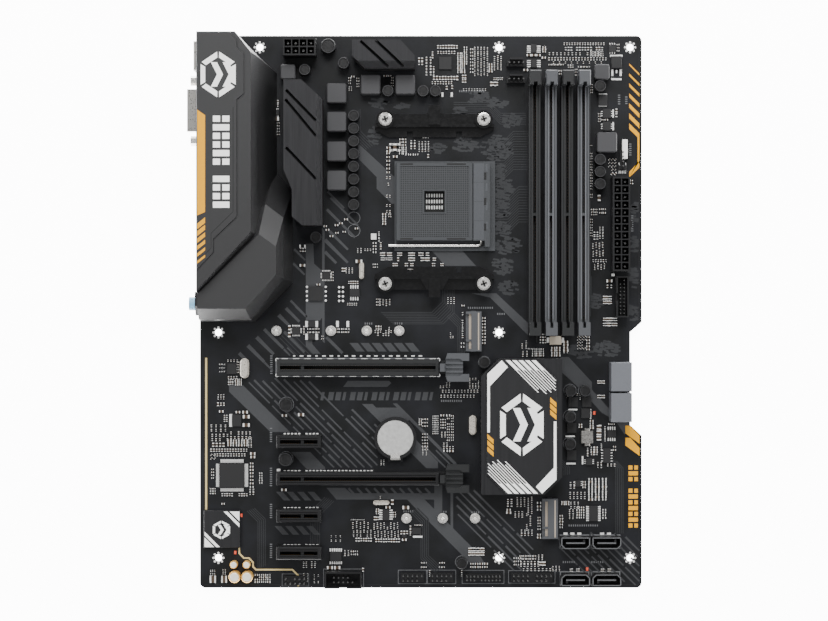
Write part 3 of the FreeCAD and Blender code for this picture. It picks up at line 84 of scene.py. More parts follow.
# ---- camera, floor and light -----------------------------------------------------------------------------
def make_stage():
    """A camera straight above the board, a pale floor under it and soft light from the processor side."""
    camera = bpy.data.cameras.new("camera")
    camera.sensor_width = 36.0
    camera.lens = camera_lens
    camera.clip_start = 0.05
    camera.clip_end = 10.0
    seen_from = bpy.data.objects.new("camera", camera)
    seen_from.location = corner + Vector(camera_place) * MM
    bpy.context.scene.collection.objects.link(seen_from)
    bpy.context.scene.camera = seen_from

    floor = Lot("floor", floor_paint())
    floor.prism(rectangle(board_width / 2, board_length / 2, 6000, 6000), board_floor - 20, board_floor)
    made = floor.make(None)

    world = bpy.data.worlds.new("sky")
    world.use_nodes = True
    background = world.node_tree.nodes["Background"]
    background.inputs["Color"].default_value = (1.0, 1.0, 1.0, 1.0)
    background.inputs["Strength"].default_value = sky_strength
    bpy.context.scene.world = world
    for name, place, size, power in (
            ("key", (120, 1150, 1000), 1.0, 32.0), ("fill", (-950, 120, 900), 1.1, 13.0),
            ("side", (1250, 200, 850), 1.1, 13.0), ("low", (120, -950, 900), 1.0, 8.0)):
        light = bpy.data.lights.new(name, "AREA")
        light.shape = "DISK"
        light.size = size
        light.energy = power
        lamp = bpy.data.objects.new(name, light)
        lamp.location = corner + Vector(place) * MM
        aim = corner + Vector((board_width / 2, board_length / 2, 0)) * MM - lamp.location
        lamp.rotation_euler = aim.to_track_quat("-Z", "Y").to_euler()
        bpy.context.scene.collection.objects.link(lamp)


# ---- mesh making -----------------------------------------------------------------------------------------
def rectangle(x, y, dx, dy):
    a, b = dx / 2, dy / 2
    return [(x - a, y - b), (x + a, y - b), (x + a, y + b), (x - a, y + b)]


def circle(x, y, radius, sides=16, start=0.0):
    return [(x + radius * math.cos(start + 2 * math.pi * k / sides),
             y + radius * math.sin(start + 2 * math.pi * k / sides)) for k in range(sides)]


def turned(outline, x, y, degrees):
    """The outline turned about a point."""
    c, s = math.cos(math.radians(degrees)), math.sin(math.radians(degrees))
    return [(x + (a - x) * c - (b - y) * s, y + (a - x) * s + (b - y) * c) for a, b in outline]


def ribbon(points, width):
    """The outline of a line of one width through the points, with mitred corners."""
    left, right = [], []
    count = len(points)
    for i, (x, y) in enumerate(points):
        ahead = points[min(i + 1, count - 1)]
        behind = points[max(i - 1, 0)]
        into = Vector((x - behind[0], y - behind[1]))
        out = Vector((ahead[0] - x, ahead[1] - y))
        into = out.normalized() if i == 0 else into.normalized()
        out = into if i == count - 1 else out.normalized()
        side = Vector((-into.y - out.y, into.x + out.x))
        side *= width / 2 / (1 + into.dot(out))
        left.append((x + side.x, y + side.y))
        right.append((x - side.x, y - side.y))
    return right + left[::-1]


def stroke(x, y, length, width, degrees, end_width=None):
    """A straight bar from a point, which can taper to another width."""
    other = width if end_width is None else end_width
    bar = [(x, y - width / 2), (x + length, y - other / 2), (x + length, y + other / 2), (x, y + width / 2)]
    return turned(bar, x, y, degrees)


def slanted(x, y, width, lean, rise):
    """A parallelogram with two level sides. x, y is its lower left corner, and its top is moved by lean."""
    return [(x, y), (x + width, y), (x + width + lean, y + rise), (x + lean, y + rise)]


class Lot:
    """A piece made of many small closed solids that share one material."""

    def __init__(self, name, material, body="board"):
        self.name = name
        self.material = material
        self.body = body
        self.points = []
        self.faces = []
        self.smooth = []
        self.layers = 0

    def loft(self, rings, smooth=False):
        """A closed solid through rings of as many points each, anticlockwise seen from the last ring."""
        start = len(self.points)
        size = len(rings[0])
        for ring in rings:
            self.points.extend(ring)
        self.faces.append([start + i for i in reversed(range(size))])
        self.smooth.append(False)
        for level in range(len(rings) - 1):
            base = start + level * size
            for i in range(size):
                j = (i + 1) % size
                self.faces.append([base + i, base + j, base + size + j, base + size + i])
                self.smooth.append(smooth)
        top = start + (len(rings) - 1) * size
        self.faces.append([top + i for i in range(size)])
        self.smooth.append(False)

    def prism(self, outline, z0, z1, smooth=False):
        area = sum(a[0] * b[1] - b[0] * a[1] for a, b in zip(outline, outline[1:] + outline[:1]))
        outline = outline if area > 0 else outline[::-1]
        self.loft([[(x, y, z) for x, y in outline] for z in (z0, z1)], smooth)

    def print_on(self, *outline, z=0.0):
        """A patch of ink. Each is a little higher than the last, so that no two tops lie in one plane."""
        self.layers = (self.layers + 1) % 11
        self.prism(list(outline), z, z + ink_height + 0.003 * self.layers)

    def block(self, x, y, z, dx, dy, dz, bevel=0.0, degrees=0):
        """A block centred on x, y that stands on z, with its top edges bevelled."""
        low = rectangle(x, y, dx, dy)
        top = rectangle(x, y, dx - 2 * bevel, dy - 2 * bevel)
        if degrees:
            low, top = turned(low, x, y, degrees), turned(top, x, y, degrees)
        rings = [[(a, b, z) for a, b in low], [(a, b, z + dz - bevel) for a, b in low]]
        if bevel:
            rings.append([(a, b, z + dz) for a, b in top])
        self.loft(rings)

    def post(self, x, y, profile, sides=16, smooth=True):
        """An upright round solid. The profile lists (radius, z), from the bottom up."""
        self.loft([[(a, b, z) for a, b in circle(x, y, radius, sides)] for radius, z in profile], smooth)

    def make(self, slot):
        """The finished piece, riding on its body, with its material."""
        mesh = bpy.data.meshes.new(self.name)
        mesh.from_pydata([corner + Vector(p) * MM for p in self.points], [], self.faces)
        mesh.polygons.foreach_set("use_smooth", self.smooth)
        mesh.materials.append(self.material)
        mesh.update()
        made = bpy.data.objects.new(self.name, mesh)
        bpy.context.scene.collection.objects.link(made)
        if slot:
            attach(made, self.body)
        return made


# ---- materials -------------------------------------------------------------------------------------------
def colour(code):
    """A linear colour from an sRGB hex code."""
    parts = [int(code[i:i + 2], 16) / 255 for i in (1, 3, 5)]
    linear = [c / 12.92 if c <= 0.04045 else ((c + 0.055) / 1.055) ** 2.4 for c in parts]
    return (*linear, 1.0)


def add(tree, kind, links=None, **settings):
    """Adds a node. links gives its inputs, each from another node's socket or as a plain value."""
    made = tree.nodes.new(kind)
    for name, value in settings.items():
        setattr(made, name, value)
    for name, value in (links or {}).items():
        if isinstance(value, bpy.types.NodeSocket):
            tree.links.new(value, made.inputs[name])
        else:
            made.inputs[name].default_value = value
    return made


def finish(name, **constants):
    """A new material with its shader's own values set. Returns the material, its tree and the shader."""
    material = bpy.data.materials.new(name)
    material.use_nodes = True
    tree = material.node_tree
    shader = tree.nodes["Principled BSDF"]
    for key, value in constants.items():
        shader.inputs[key.replace("_", " ")].default_value = value
    return material, tree, shader


def millimetres(tree, stretch=(1.0, 1.0, 1.0)):
    """Positions on the object in millimetres, divided by the stretch along each axis."""
    place = add(tree, "ShaderNodeTexCoord")
    scale = tuple(1000.0 / s for s in stretch)
    scaled = add(tree, "ShaderNodeMapping", {"Vector": place.outputs["Object"], "Scale": scale})
    return scaled.outputs["Vector"]


def mottle(tree, shader, dark, light, size_mm, roughness=None, bump_mm=0.0, stretch=(1.0, 1.0, 1.0),
           detail=3.0):
    """Colour, roughness and bump that vary together over patches of a given size."""
    place = millimetres(tree, stretch)
    noise = add(tree, "ShaderNodeTexNoise", {"Vector": place, "Scale": 1.0 / size_mm, "Detail": detail})
    fac = noise.outputs["Fac"]
    mix = add(tree, "ShaderNodeMix", {"Factor": fac}, data_type="RGBA")
    mix.inputs[6].default_value = colour(dark)
    mix.inputs[7].default_value = colour(light)
    tree.links.new(mix.outputs[2], shader.inputs["Base Color"])
    if roughness:
        span = add(tree, "ShaderNodeMapRange",
                   {"Value": fac, "From Min": 0.3, "From Max": 0.7,
                    "To Min": roughness[0], "To Max": roughness[1]})
        tree.links.new(span.outputs["Result"], shader.inputs["Roughness"])
    if bump_mm:
        bump = add(tree, "ShaderNodeBump", {"Height": fac, "Distance": bump_mm * MM, "Strength": 1.0})
        tree.links.new(bump.outputs["Normal"], shader.inputs["Normal"])
    return fac


def floor_paint():
    """Opal acrylic over a light table: even, pale and lit from within, with no sheen."""
    material, tree, shader = finish("opal_acrylic", Specular_IOR_Level=0.1)
    mottle(tree, shader, "#f4f4f4", "#fbfbfb", 40.0, (0.85, 0.95))
    shader.inputs["Emission Color"].default_value = (1.0, 1.0, 1.0, 1.0)
    shader.inputs["Emission Strength"].default_value = floor_glow
    return material


def solder_mask():
    """Black solder mask, screened on and baked: satin, with the glass cloth under it just showing."""
    material, tree, shader = finish("black_solder_mask", Specular_IOR_Level=0.22, IOR=1.5)
    place = millimetres(tree)
    patches = add(tree, "ShaderNodeTexNoise", {"Vector": place, "Scale": 1 / 14.0, "Detail": 4.0})
    # this scale puts the threads 0.92 mm apart, which is coarser than real glass cloth, so that they show
    thread_scale = 0.34
    weave_x = add(tree, "ShaderNodeTexWave", {"Vector": place, "Scale": thread_scale, "Distortion": 0.0},
                  wave_type="BANDS", bands_direction="X")
    weave_y = add(tree, "ShaderNodeTexWave", {"Vector": place, "Scale": thread_scale, "Distortion": 0.0},
                  wave_type="BANDS", bands_direction="Y")
    weave = add(tree, "ShaderNodeMath", {0: weave_x.outputs["Fac"], 1: weave_y.outputs["Fac"]},
                operation="ADD")
    ramp = add(tree, "ShaderNodeValToRGB", {"Fac": patches.outputs["Fac"]})
    ramp.color_ramp.elements[0].position = 0.35
    ramp.color_ramp.elements[0].color = colour("#0e0f10")
    ramp.color_ramp.elements[1].position = 0.7
    ramp.color_ramp.elements[1].color = colour("#15161a")
    tree.links.new(ramp.outputs["Color"], shader.inputs["Base Color"])
    rough = add(tree, "ShaderNodeMapRange", {"Value": patches.outputs["Fac"], "To Min": 0.38, "To Max": 0.55})
    tree.links.new(rough.outputs["Result"], shader.inputs["Roughness"])
    bump = add(tree, "ShaderNodeBump",
               {"Height": weave.outputs["Value"], "Distance": 0.004 * MM, "Strength": 0.5})
    tree.links.new(bump.outputs["Normal"], shader.inputs["Normal"])
    return material


def screen_ink(name, dark, light, rough=(0.5, 0.65)):
    """Screened epoxy ink: flat and slightly uneven where the mesh let it through."""
    material, tree, shader = finish(name, Specular_IOR_Level=0.25)
    mottle(tree, shader, dark, light, 1.2, rough, 0.004)
    return material


def moulded(name, dark, light, rough=(0.42, 0.56), grain_mm=0.35, bump_mm=0.006, specular=0.35):
    """Moulded nylon or LCP: a fine spark-eroded grain that breaks up the highlights."""
    material, tree, shader = finish(name, Specular_IOR_Level=specular, IOR=1.53)
    mottle(tree, shader, dark, light, grain_mm, rough, bump_mm)
    return material


def shroud_plastic():
    """Moulded ABS with a matt spark-eroded grain: dark grey, soft highlights on its ridges."""
    material, tree, shader = finish("matt_abs_shroud", Specular_IOR_Level=0.4, IOR=1.54)
    mottle(tree, shader, "#1c1c1d", "#222223", 0.5, (0.42, 0.55), 0.004)
    return material


def brushed(name, dark, light, along="y", metallic=0.85, rough=(0.38, 0.52), groove_mm=0.5):
    """Anodised aluminium, brushed one way: long fine scratches that draw the highlight out."""
    stretch = (1.0, 60.0, 1.0) if along == "y" else (60.0, 1.0, 1.0)
    material, tree, shader = finish(name, Metallic=metallic)
    mottle(tree, shader, dark, light, groove_mm, rough, 0.01, stretch, 4.0)
    return material


def bright_metal(name, dark, light, rough=(0.18, 0.32), metallic=1.0, grain_mm=0.8, bump_mm=0.003):
    """Plated or bare metal: bright, with slight stains and rolling marks."""
    material, tree, shader = finish(name, Metallic=metallic)
    mottle(tree, shader, dark, light, grain_mm, rough, bump_mm)
    return material


def ferrite_powder():
    """Pressed iron powder: a close even grain, dark grey and almost dull."""
    material, tree, shader = finish("pressed_iron_powder", Specular_IOR_Level=0.4)
    mottle(tree, shader, "#2c2c2e", "#363638", 0.3, (0.5, 0.62), 0.006)
    return material


def lacquered_can():
    """A black lacquered aluminium can: smooth and slightly glossy."""
    material, tree, shader = finish("black_lacquered_can", Specular_IOR_Level=0.45, Coat_Weight=0.15)
    mottle(tree, shader, "#0a0a0b", "#101011", 1.5, (0.3, 0.42), 0.002)
    return material


def epoxy_package():
    """Chip moulding compound: filled black epoxy with a fine matt grain."""
    material, tree, shader = finish("epoxy_moulding_compound", Specular_IOR_Level=0.35)
    mottle(tree, shader, "#131314", "#1b1b1c", 0.4, (0.45, 0.6), 0.003)
    return material


def jack_plastics():
    """Coloured nylon jack faces, one colour for each jack up the stack, on a grey body."""
    material, tree, shader = finish("coloured_jack_nylon", Specular_IOR_Level=0.45, Roughness=0.4)
    place = millimetres(tree)
    split = add(tree, "ShaderNodeSeparateXYZ", {"Vector": place})
    low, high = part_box("audio_jacks")
    ramp = add(tree, "ShaderNodeValToRGB")
    rise = add(tree, "ShaderNodeMapRange",
               {"Value": split.outputs["Z"], "From Min": low.z / MM, "From Max": high.z / MM})
    tree.links.new(rise.outputs["Result"], ramp.inputs["Fac"])
    ramp.color_ramp.interpolation = "CONSTANT"
    ramp.color_ramp.elements[0].color = colour("#d98fa4")
    ramp.color_ramp.elements[1].position = 0.33
    ramp.color_ramp.elements[1].color = colour("#9cc46a")
    top = ramp.color_ramp.elements.new(0.65)
    top.color = colour("#7fb6d6")
    body = add(tree, "ShaderNodeMapRange",
               {"Value": split.outputs["X"], "From Min": low.x / MM + 3.3, "From Max": low.x / MM + 3.4})
    mix = add(tree, "ShaderNodeMix", {"Factor": body.outputs["Result"]}, data_type="RGBA")
    tree.links.new(ramp.outputs["Color"], mix.inputs[6])
    mix.inputs[7].default_value = colour("#1f1f21")
    tree.links.new(mix.outputs[2], shader.inputs["Base Color"])
    grain = add(tree, "ShaderNodeTexNoise", {"Vector": place, "Scale": 3.0})
    bump = add(tree, "ShaderNodeBump", {"Height": grain.outputs["Fac"], "Distance": 0.006 * MM})
    tree.links.new(bump.outputs["Normal"], shader.inputs["Normal"])
    return material


board_floor = (cad_bounds[0][2] - corner.z) / MM

mask = solder_mask()
grey_ink = screen_ink("grey_screen_ink", "#303133", "#37383a")
dark_ink = screen_ink("dark_screen_ink", "#252628", "#2b2c2e")
# pale print for outlines and part marks, also laid on the drive ports' walls as a painted highlight
pale_ink_and_rim_highlight = screen_ink("pale_screen_ink_and_rim_highlight", "#505153", "#5f6062")
white_ink = screen_ink("white_pad_print", "#ececea", "#f7f7f5", (0.4, 0.5))
yellow_ink = screen_ink("yellow_pad_print", "#d19200", "#db9b00", (0.4, 0.5))
gold_ink = screen_ink("buff_screen_ink", "#b3a06c", "#c6b382")
abs_shroud = shroud_plastic()
buff_nylon = moulded("buff_nylon", "#8a7f72", "#a09587")
black_nylon = moulded("black_nylon", "#0d0d0e", "#141416", specular=0.25)
charcoal_nylon = moulded("charcoal_nylon", "#151617", "#1d1e1f", specular=0.3)
grey_nylon = moulded("grey_nylon", "#393a3d", "#444649")
# pale grey: the angled drive ports' own colour, also laid along the memory slots' rims as a painted highlight
pale_nylon_and_rim_highlight = moulded("pale_grey_nylon_and_rim_highlight", "#53555a", "#5f6166")
socket_lcp = moulded("grey_socket_lcp", "#2c2e30", "#36383b", grain_mm=0.6, bump_mm=0.003)
strip_lcp = moulded("cam_strip_lcp", "#35373a", "#404246", grain_mm=0.6, bump_mm=0.003)
gloss_nylon = moulded("gloss_black_nylon", "#080809", "#0d0d0e", (0.16, 0.24), 2.0, 0.001, 0.6)
white_nylon = moulded("white_nylon", "#e6e4df", "#f0eeea")
sink_metal = brushed("brushed_grey_anodised_aluminium", "#1e1e20", "#2c2c2e", metallic=0.6)
plate_metal = brushed("black_printed_aluminium", "#101012", "#17171a", metallic=0.3, rough=(0.45, 0.55))
steel_shell = bright_metal("tinned_steel_shell", "#a9a7a3", "#c6c4c0", (0.25, 0.4))
slot_armour = bright_metal("brushed_slot_armour", "#55565a", "#6c6d72", (0.4, 0.5), 0.5, 0.5)
plated_nickel = bright_metal("nickel_plate", "#d6d4d0", "#f0eeea", (0.22, 0.36), 0.7)
lever_wire = bright_metal("bright_steel_wire", "#c2c0bc", "#dedcd8", (0.15, 0.28))
black_steel = moulded("black_coated_steel", "#141415", "#1c1c1e", (0.35, 0.5), 0.5, 0.004, 0.5)
tin = bright_metal("tin_solder", "#d4d4d2", "#f6f6f4", (0.3, 0.45), 0.4, 0.4)
# tinned pins given a dark grey in place of bright tin: painted shade of the connector housings and headers
# round them
shaded_pin = bright_metal("tinned_pin_painted_shade", "#4a4a4a", "#606060", (0.35, 0.5), 0.6)
gold = bright_metal("gold_flash", "#3c2c14", "#4c3819", (0.3, 0.4), 0.7)
cell_steel = bright_metal("coin_cell_steel", "#b2b2b0", "#cacac8", (0.3, 0.42), 0.5, 2.0)
crystal_can = bright_metal("crystal_can", "#bdb7ab", "#d8d2c8", (0.25, 0.35), 0.5)
iron_powder = ferrite_powder()
can_lacquer = lacquered_can()
can_rim = bright_metal("worn_can_rim", "#2c2c2e", "#3a3a3c", (0.3, 0.42), 0.4)
gold_sleeve = bright_metal("gold_anodised_can", "#d8a448", "#ecc27a", (0.3, 0.42), 0.5)
pale_can_top = bright_metal("bare_can_top", "#e6e2d6", "#f6f3ea", (0.3, 0.42), 0.3)
epoxy = epoxy_package()
ceramic = moulded("brown_ceramic", "#33291f", "#4a3c2e", (0.4, 0.5), 0.3)
resistor_glass = moulded("black_glass_resistor", "#0d0d0e", "#141416", (0.25, 0.4), 0.3)
soft_pad = moulded("grey_silicone_pad", "#8b8f94", "#9da1a6", (0.7, 0.8), 0.6)
jack_nylon = jack_plastics()
# near black: painted shade laid in the socket's pin holes and slots, the screw recesses and along the shroud
# panel's edges, and also the colour of the cans' printed polarity marks
recess_shade_and_marks = moulded("painted_recess_shade_and_dark_marks", "#070708", "#0b0b0c", (0.6, 0.7))
red_lens = moulded("red_lens", "#c8402c", "#e0684e", (0.2, 0.3))

cad_finish = {
    "pcb": mask, "cpu_backplate": black_steel, "through_hole_tails": tin, "heatsink_screws": plated_nickel,
    "io_shroud": abs_shroud, "vrm_heatsink_left": sink_metal, "vrm_heatsink_top": sink_metal,
    "vrm_mosfets": epoxy, "thermal_pads": soft_pad, "chipset_heatsink": sink_metal,
    "chipset_faceplate": plate_metal, "controller_chips": epoxy, "cpu_socket_base": socket_lcp,
    "cpu_socket_cover": socket_lcp, "cpu_socket_lever": lever_wire, "cooler_bracket_top": gloss_nylon,
    "cooler_bracket_bottom": gloss_nylon, "cooler_bracket_screws": plated_nickel,
    "pcie_x16_slot_1": charcoal_nylon, "pcie_x16_shield": slot_armour, "pcie_x16_latch_1": grey_nylon,
    "pcie_x16_slot_2": black_nylon, "pcie_x16_latch_2": charcoal_nylon, "pcie_x1_slot_1": black_nylon,
    "pcie_x1_slot_2": black_nylon, "pcie_x1_slot_3": black_nylon, "m2_socket_upper": grey_nylon,
    "m2_socket_lower": grey_nylon, "m2_nuts": plated_nickel, "battery_holder": black_nylon,
    "coin_cell": cell_steel, "battery_clip": plated_nickel, "atx_power_connector": black_nylon,
    "cpu_power_connector": black_nylon, "power_connector_pins": shaded_pin, "ps2_usb_stack": steel_shell,
    "dvi_connector": steel_shell, "dvi_jackscrews": plated_nickel, "hdmi_connector": steel_shell,
    "usb_stack": steel_shell, "usb_c_stack": steel_shell, "lan_usb_stack": steel_shell,
    "audio_jacks": jack_nylon, "sata_ports_vertical": black_nylon, "sata_ports_angled": pale_nylon_and_rim_highlight,
    "box_headers": black_nylon, "pin_headers": black_nylon, "header_pins": shaded_pin,
    "power_chokes": iron_powder, "solid_capacitors": can_lacquer, "audio_capacitors": gold_sleeve,
    "audio_shield": plate_metal,
}
for number in range(1, 5):
    tone = grey_nylon if number % 2 == 0 else charcoal_nylon
    cad_finish[f"dimm_slot_{number}"] = tone
    cad_finish[f"dimm_latch_{number}"] = tone
for name, material in cad_finish.items():
    mesh = nodes[name].data
    mesh.materials.clear()
    mesh.materials.append(material)


# ---- printing on the board -------------------------------------------------------------------------------
def make_board_print():
    """Wide grey bands, slanted fields and camouflage patches, with the pale outlines of the headers."""
    grey = Lot("board_print_grey", grey_ink)
    make_bands(grey)
    make_stripes(grey)
    grey.make("fr4_laminate")
    dark = Lot("board_print_dark", dark_ink)
    make_camouflage(dark)
    make_traces(dark)
    dark.make("fr4_laminate")

    pale = Lot("board_print_outlines", pale_ink_and_rim_highlight)
    for x, y, dx, dy in ((117.3, 6.0, 16.0, 7.8), (133.4, 6.0, 16.0, 7.8), (156.3, 6.0, 23.4, 7.6),
                         (183.2, 6.0, 26.0, 7.2), (52.7, 4.3, 15.0, 7.0), (79.3, 5.2, 22.4, 10.6)):
        frame_of(pale, x, y, dx, dy, 0.3)
    for x, y, _ in drive_ports:
        frame_of(pale, x, y, 16.4, 8.0, 0.7)
    for x, y, radius in circles_on_board:
        ring(pale, x, y, radius, 0.3)
    # short marks where a board carries its small part numbers
    for x, y, columns in ((91.2, 145.9, 4), (107.8, 145.9, 4), (112.6, 42.2, 5), (132.2, 41.9, 4),
                          (150.2, 41.6, 4), (203.8, 34.4, 14), (200.6, 14.2, 6), (216.4, 14.2, 6),
                          (148.2, 154.6, 12),
                          (164.4, 151.2, 4), (143.4, 274.2, 12), (133.4, 103.2, 10)):
        for k in range(columns):
            pale.print_on(*rectangle(x + 1.2 * k, y, 0.6, 1.1))
    for x, y, rows in ((238.6, 205.4, 8), (237.6, 245.0, 6), (231.4, 272.0, 5), (235.4, 271.0, 4),
                       (39.2, 88.0, 7), (39.2, 66.0, 9), (39.2, 46.0, 7), (39.2, 24.0, 7), (39.4, 128.0, 9)):
        for k in range(rows):
            pale.print_on(*rectangle(x, y - 1.2 * k, 1.3, 0.6))
    pale.make("fr4_laminate")


def make_bands(lot):
    """The wide bands and the rows of slanted blocks."""
    lot.print_on((58.4, 190), (62.6, 190), (63, 179), (68.5, 174), (68.5, 150.8), (66.3, 147.6),
                 (58.4, 147.6))
    lot.print_on((67.4, 199), (68.8, 197), (68.8, 135), (67.4, 136.4))
    lot.print_on((58.4, 137), (62.0, 137), (62.0, 134.5), (66.6, 129.2), (61.8, 129.2), (58.4, 133.0))
    lot.print_on((16.0, 112.0), (23.6, 112.0), (49.7, 86.0), (38.9, 86.0), (16.0, 108.3))
    lot.print_on((50.2, 75.0), (60.8, 75.0), (69.0, 66.6), (69.0, 65.2), (59.2, 65.2))
    lot.print_on((69.8, 55.2), (80.0, 55.2), (83.4, 52.2), (129.3, 52.2), (129.3, 48.7), (75.3, 48.7))
    lot.print_on((114.0, 49.0), (123.8, 49.0), (154.6, 18.0), (157.0, 13.5), (149.2, 13.5))
    lot.print_on((129.3, 57.0), (133.8, 57.0), (133.8, 38.4), (129.3, 42.8))
    lot.print_on((138.3, 52.6), (139.8, 52.6), (139.8, 32.8), (138.3, 34.2))
    lot.print_on((89.4, 101.5), (95.3, 101.5), (97.3, 99.5), (108.7, 99.5), (115.5, 92.7), (112.0, 89.0),
                 (131.4, 69.6), (131.4, 66.0), (125.0, 66.0))
    lot.print_on((106.4, 101.8), (108.8, 101.8), (141.6, 69.0), (141.6, 66.6))
    lot.print_on((87.4, 245.3), (107.7, 226.6), (107.7, 212.0), (105.9, 212.0), (97.5, 220.4), (97.5, 226.8),
                 (87.4, 237.0))
    lot.print_on((127.5, 186.5), (144.5, 186.5), (152.4, 177.7), (135.5, 177.7))
    lot.print_on((149.8, 162.6), (163.6, 162.6), (181.0, 146.4), (181.0, 139.6), (160.2, 160.2))
    lot.print_on((199.2, 127.4), (203.6, 127.4), (216.4, 113.6), (216.4, 109.4), (226.2, 98.6), (226.2, 94.2),
                 (221.8, 96.6), (211.0, 108.6), (199.2, 119.6))
    lot.print_on((230.2, 91.0), (237.2, 91.0), (237.2, 88.0), (234.4, 84.6))
    for k in range(6):
        lot.print_on(*slanted(86.4 + 6.1 * k, 130.4, 4.6, -3.9, 4.8))
    for left, low in ((42.0, 48.2), (41.2, 29.3)):
        for k in range(4):
            lot.print_on(*slanted(left + 4.3 + 5.8 * k, low, 3.6, -4.3, 4.8))
    for k in range(10):
        lot.print_on(*stroke(82.0 + 4.7 * k, 55.0, 4.2, 1.2, -47))
    # two rows of plain bars where a board carries its name
    lot.print_on((79.0, 110.9), (103.4, 110.9), (105.6, 113.0), (104.4, 114.3), (81.6, 114.3))
    for k in range(16):
        wide = 2.9 if k % 3 else 1.6
        lot.print_on(*slanted(66.4 + 4.0 * k, 103.5, wide, 0.9, 4.6))


def make_stripes(lot):
    """45 degree stripes: short ones that taper from a thick start, and even fields of long thin ones."""
    for x, y, length, wide, narrow in (
            (21.6, 129.6, 6.0, 2.0, 1.8), (26.4, 133.8, 13.0, 2.2, 1.6), (35.6, 124.4, 6.6, 1.2, 0.8),
            (31.2, 138.4, 13.4, 2.2, 1.6), (35.4, 142.8, 15.0, 1.8, 1.5), (46.2, 131.8, 5.0, 1.2, 0.9),
            (43.4, 150.6, 9.4, 2.2, 1.4), (46.4, 141.4, 16.0, 1.5, 1.2), (47.4, 154.4, 10.6, 1.8, 1.4),
            (52.8, 155.6, 8.6, 1.4, 1.2), (50.0, 158.6, 10.0, 1.3, 1.0), (69.8, 138.4, 12.6, 1.8, 1.6),
            (52.0, 187.0, 8.6, 1.4, 1.0), (51.4, 179.2, 9.0, 1.4, 1.0), (48.2, 132.6, 6.0, 0.9, 0.7),
            (70.4, 198.0, 16.0, 1.6, 1.2), (70.0, 209.0, 22.0, 1.6, 1.2), (72.0, 215.4, 21.6, 1.2, 1.0),
            (68.9, 192.2, 18.0, 2.2, 1.3), (70.4, 218.8, 13.0, 1.2, 1.0), (68.9, 185.6, 9.0, 1.8, 1.4)):
        lot.print_on(*stroke(x, y, length, wide, -45, narrow))
    # sums of x and y along which each field's stripes lie, and the limits of x and y for the field
    fields = ((140.4, 192.0, 4.2, 26.0, 98.0, 66.4, 116.0), (183.0, 208.0, 4.4, 141.0, 184.0, 9.5, 56.5),
              (221.0, 263.0, 4.2, 196.4, 242.6, 1.5, 31.0), (193.6, 207.0, 4.2, 99.0, 140.0, 66.4, 78.0))
    for first, last, step, x0, x1, y0, y1 in fields:
        total = first
        count = 0
        while total <= last:
            low_x = max(x0, total - y1) + chance.uniform(0.0, 3.0)
            high_x = min(x1, total - y0)
            x = low_x
            while x < high_x - 1.5:
                run = min(chance.uniform(9.0, 26.0), high_x - x)
                if not (165.0 < total + 1.0 and total - x > 101.5 and x > 62.0 and x < 131.0):
                    width = 1.15 if count % 3 else 0.8
                    lot.print_on(*stroke(x, total - x, run * math.sqrt(2), width, -45, 0.8))
                x += run + chance.uniform(0.9, 1.6)
            total += step
            count += 1


def frame_of(lot, x, y, dx, dy, width):
    """Four thin bars round a rectangle."""
    for side in (-1, 1):
        lot.prism(rectangle(x, y + side * (dy - width) / 2, dx, width), 0, ink_height)
        lot.prism(rectangle(x + side * (dx - width) / 2, y, width, dy - 2 * width), 0, ink_height)


def ring(lot, x, y, radius, width, z=0.0, height=ink_height, sides=28):
    """A flat ring, as a run of short blocks that share their ends."""
    inner, outer = circle(x, y, radius - width, sides), circle(x, y, radius, sides)
    for k in range(sides):
        j = (k + 1) % sides
        lot.prism([inner[k], outer[k], outer[j], inner[j]], z, z + height)


def make_camouflage(lot):
    """Ragged patches of short level dashes, scattered at random over an ellipse."""
    patches = ((164.0, 243.0, 8, 7), (163.0, 231.0, 6, 4), (167.0, 222.0, 6, 6), (165.5, 211.0, 7, 6),
               (166.0, 198.0, 5, 5), (170.0, 189.0, 7, 5), (167.0, 178.0, 6, 5), (171.0, 166.0, 6, 4),
               (172.0, 258.0, 5, 4), (164.0, 268.0, 6, 3), (146.5, 245.0, 7, 4), (131.0, 243.0, 4, 3),
               (153.0, 271.5, 6, 4), (98.5, 267.5, 5, 3), (96.0, 250.0, 3, 5), (112.0, 266.0, 4, 2),
               (210.0, 130.5, 7, 4), (224.5, 131.5, 7, 5), (218.0, 158.5, 5, 4), (240.4, 208.0, 3, 6),
               (240.4, 190.0, 3, 5), (240.0, 172.0, 3, 6), (238.0, 152.0, 5, 5), (143.5, 263.0, 4, 3))
    for x, y, half_x, half_y in patches:
        for _ in range(int(1.5 * half_x * half_y)):
            angle, away = chance.uniform(0, 2 * math.pi), math.sqrt(chance.random())
            a = x + half_x * away * math.cos(angle)
            b = y + half_y * away * math.sin(angle)
            half = chance.uniform(2.0, 4.2) / 2
            a = min(a, board_width - 1.5 - half)
            lot.print_on((a - half, b - 0.45), (a + half - 0.5, b - 0.95), (a + half, b + 0.05),
                         (a - half + 0.5, b + 0.55))


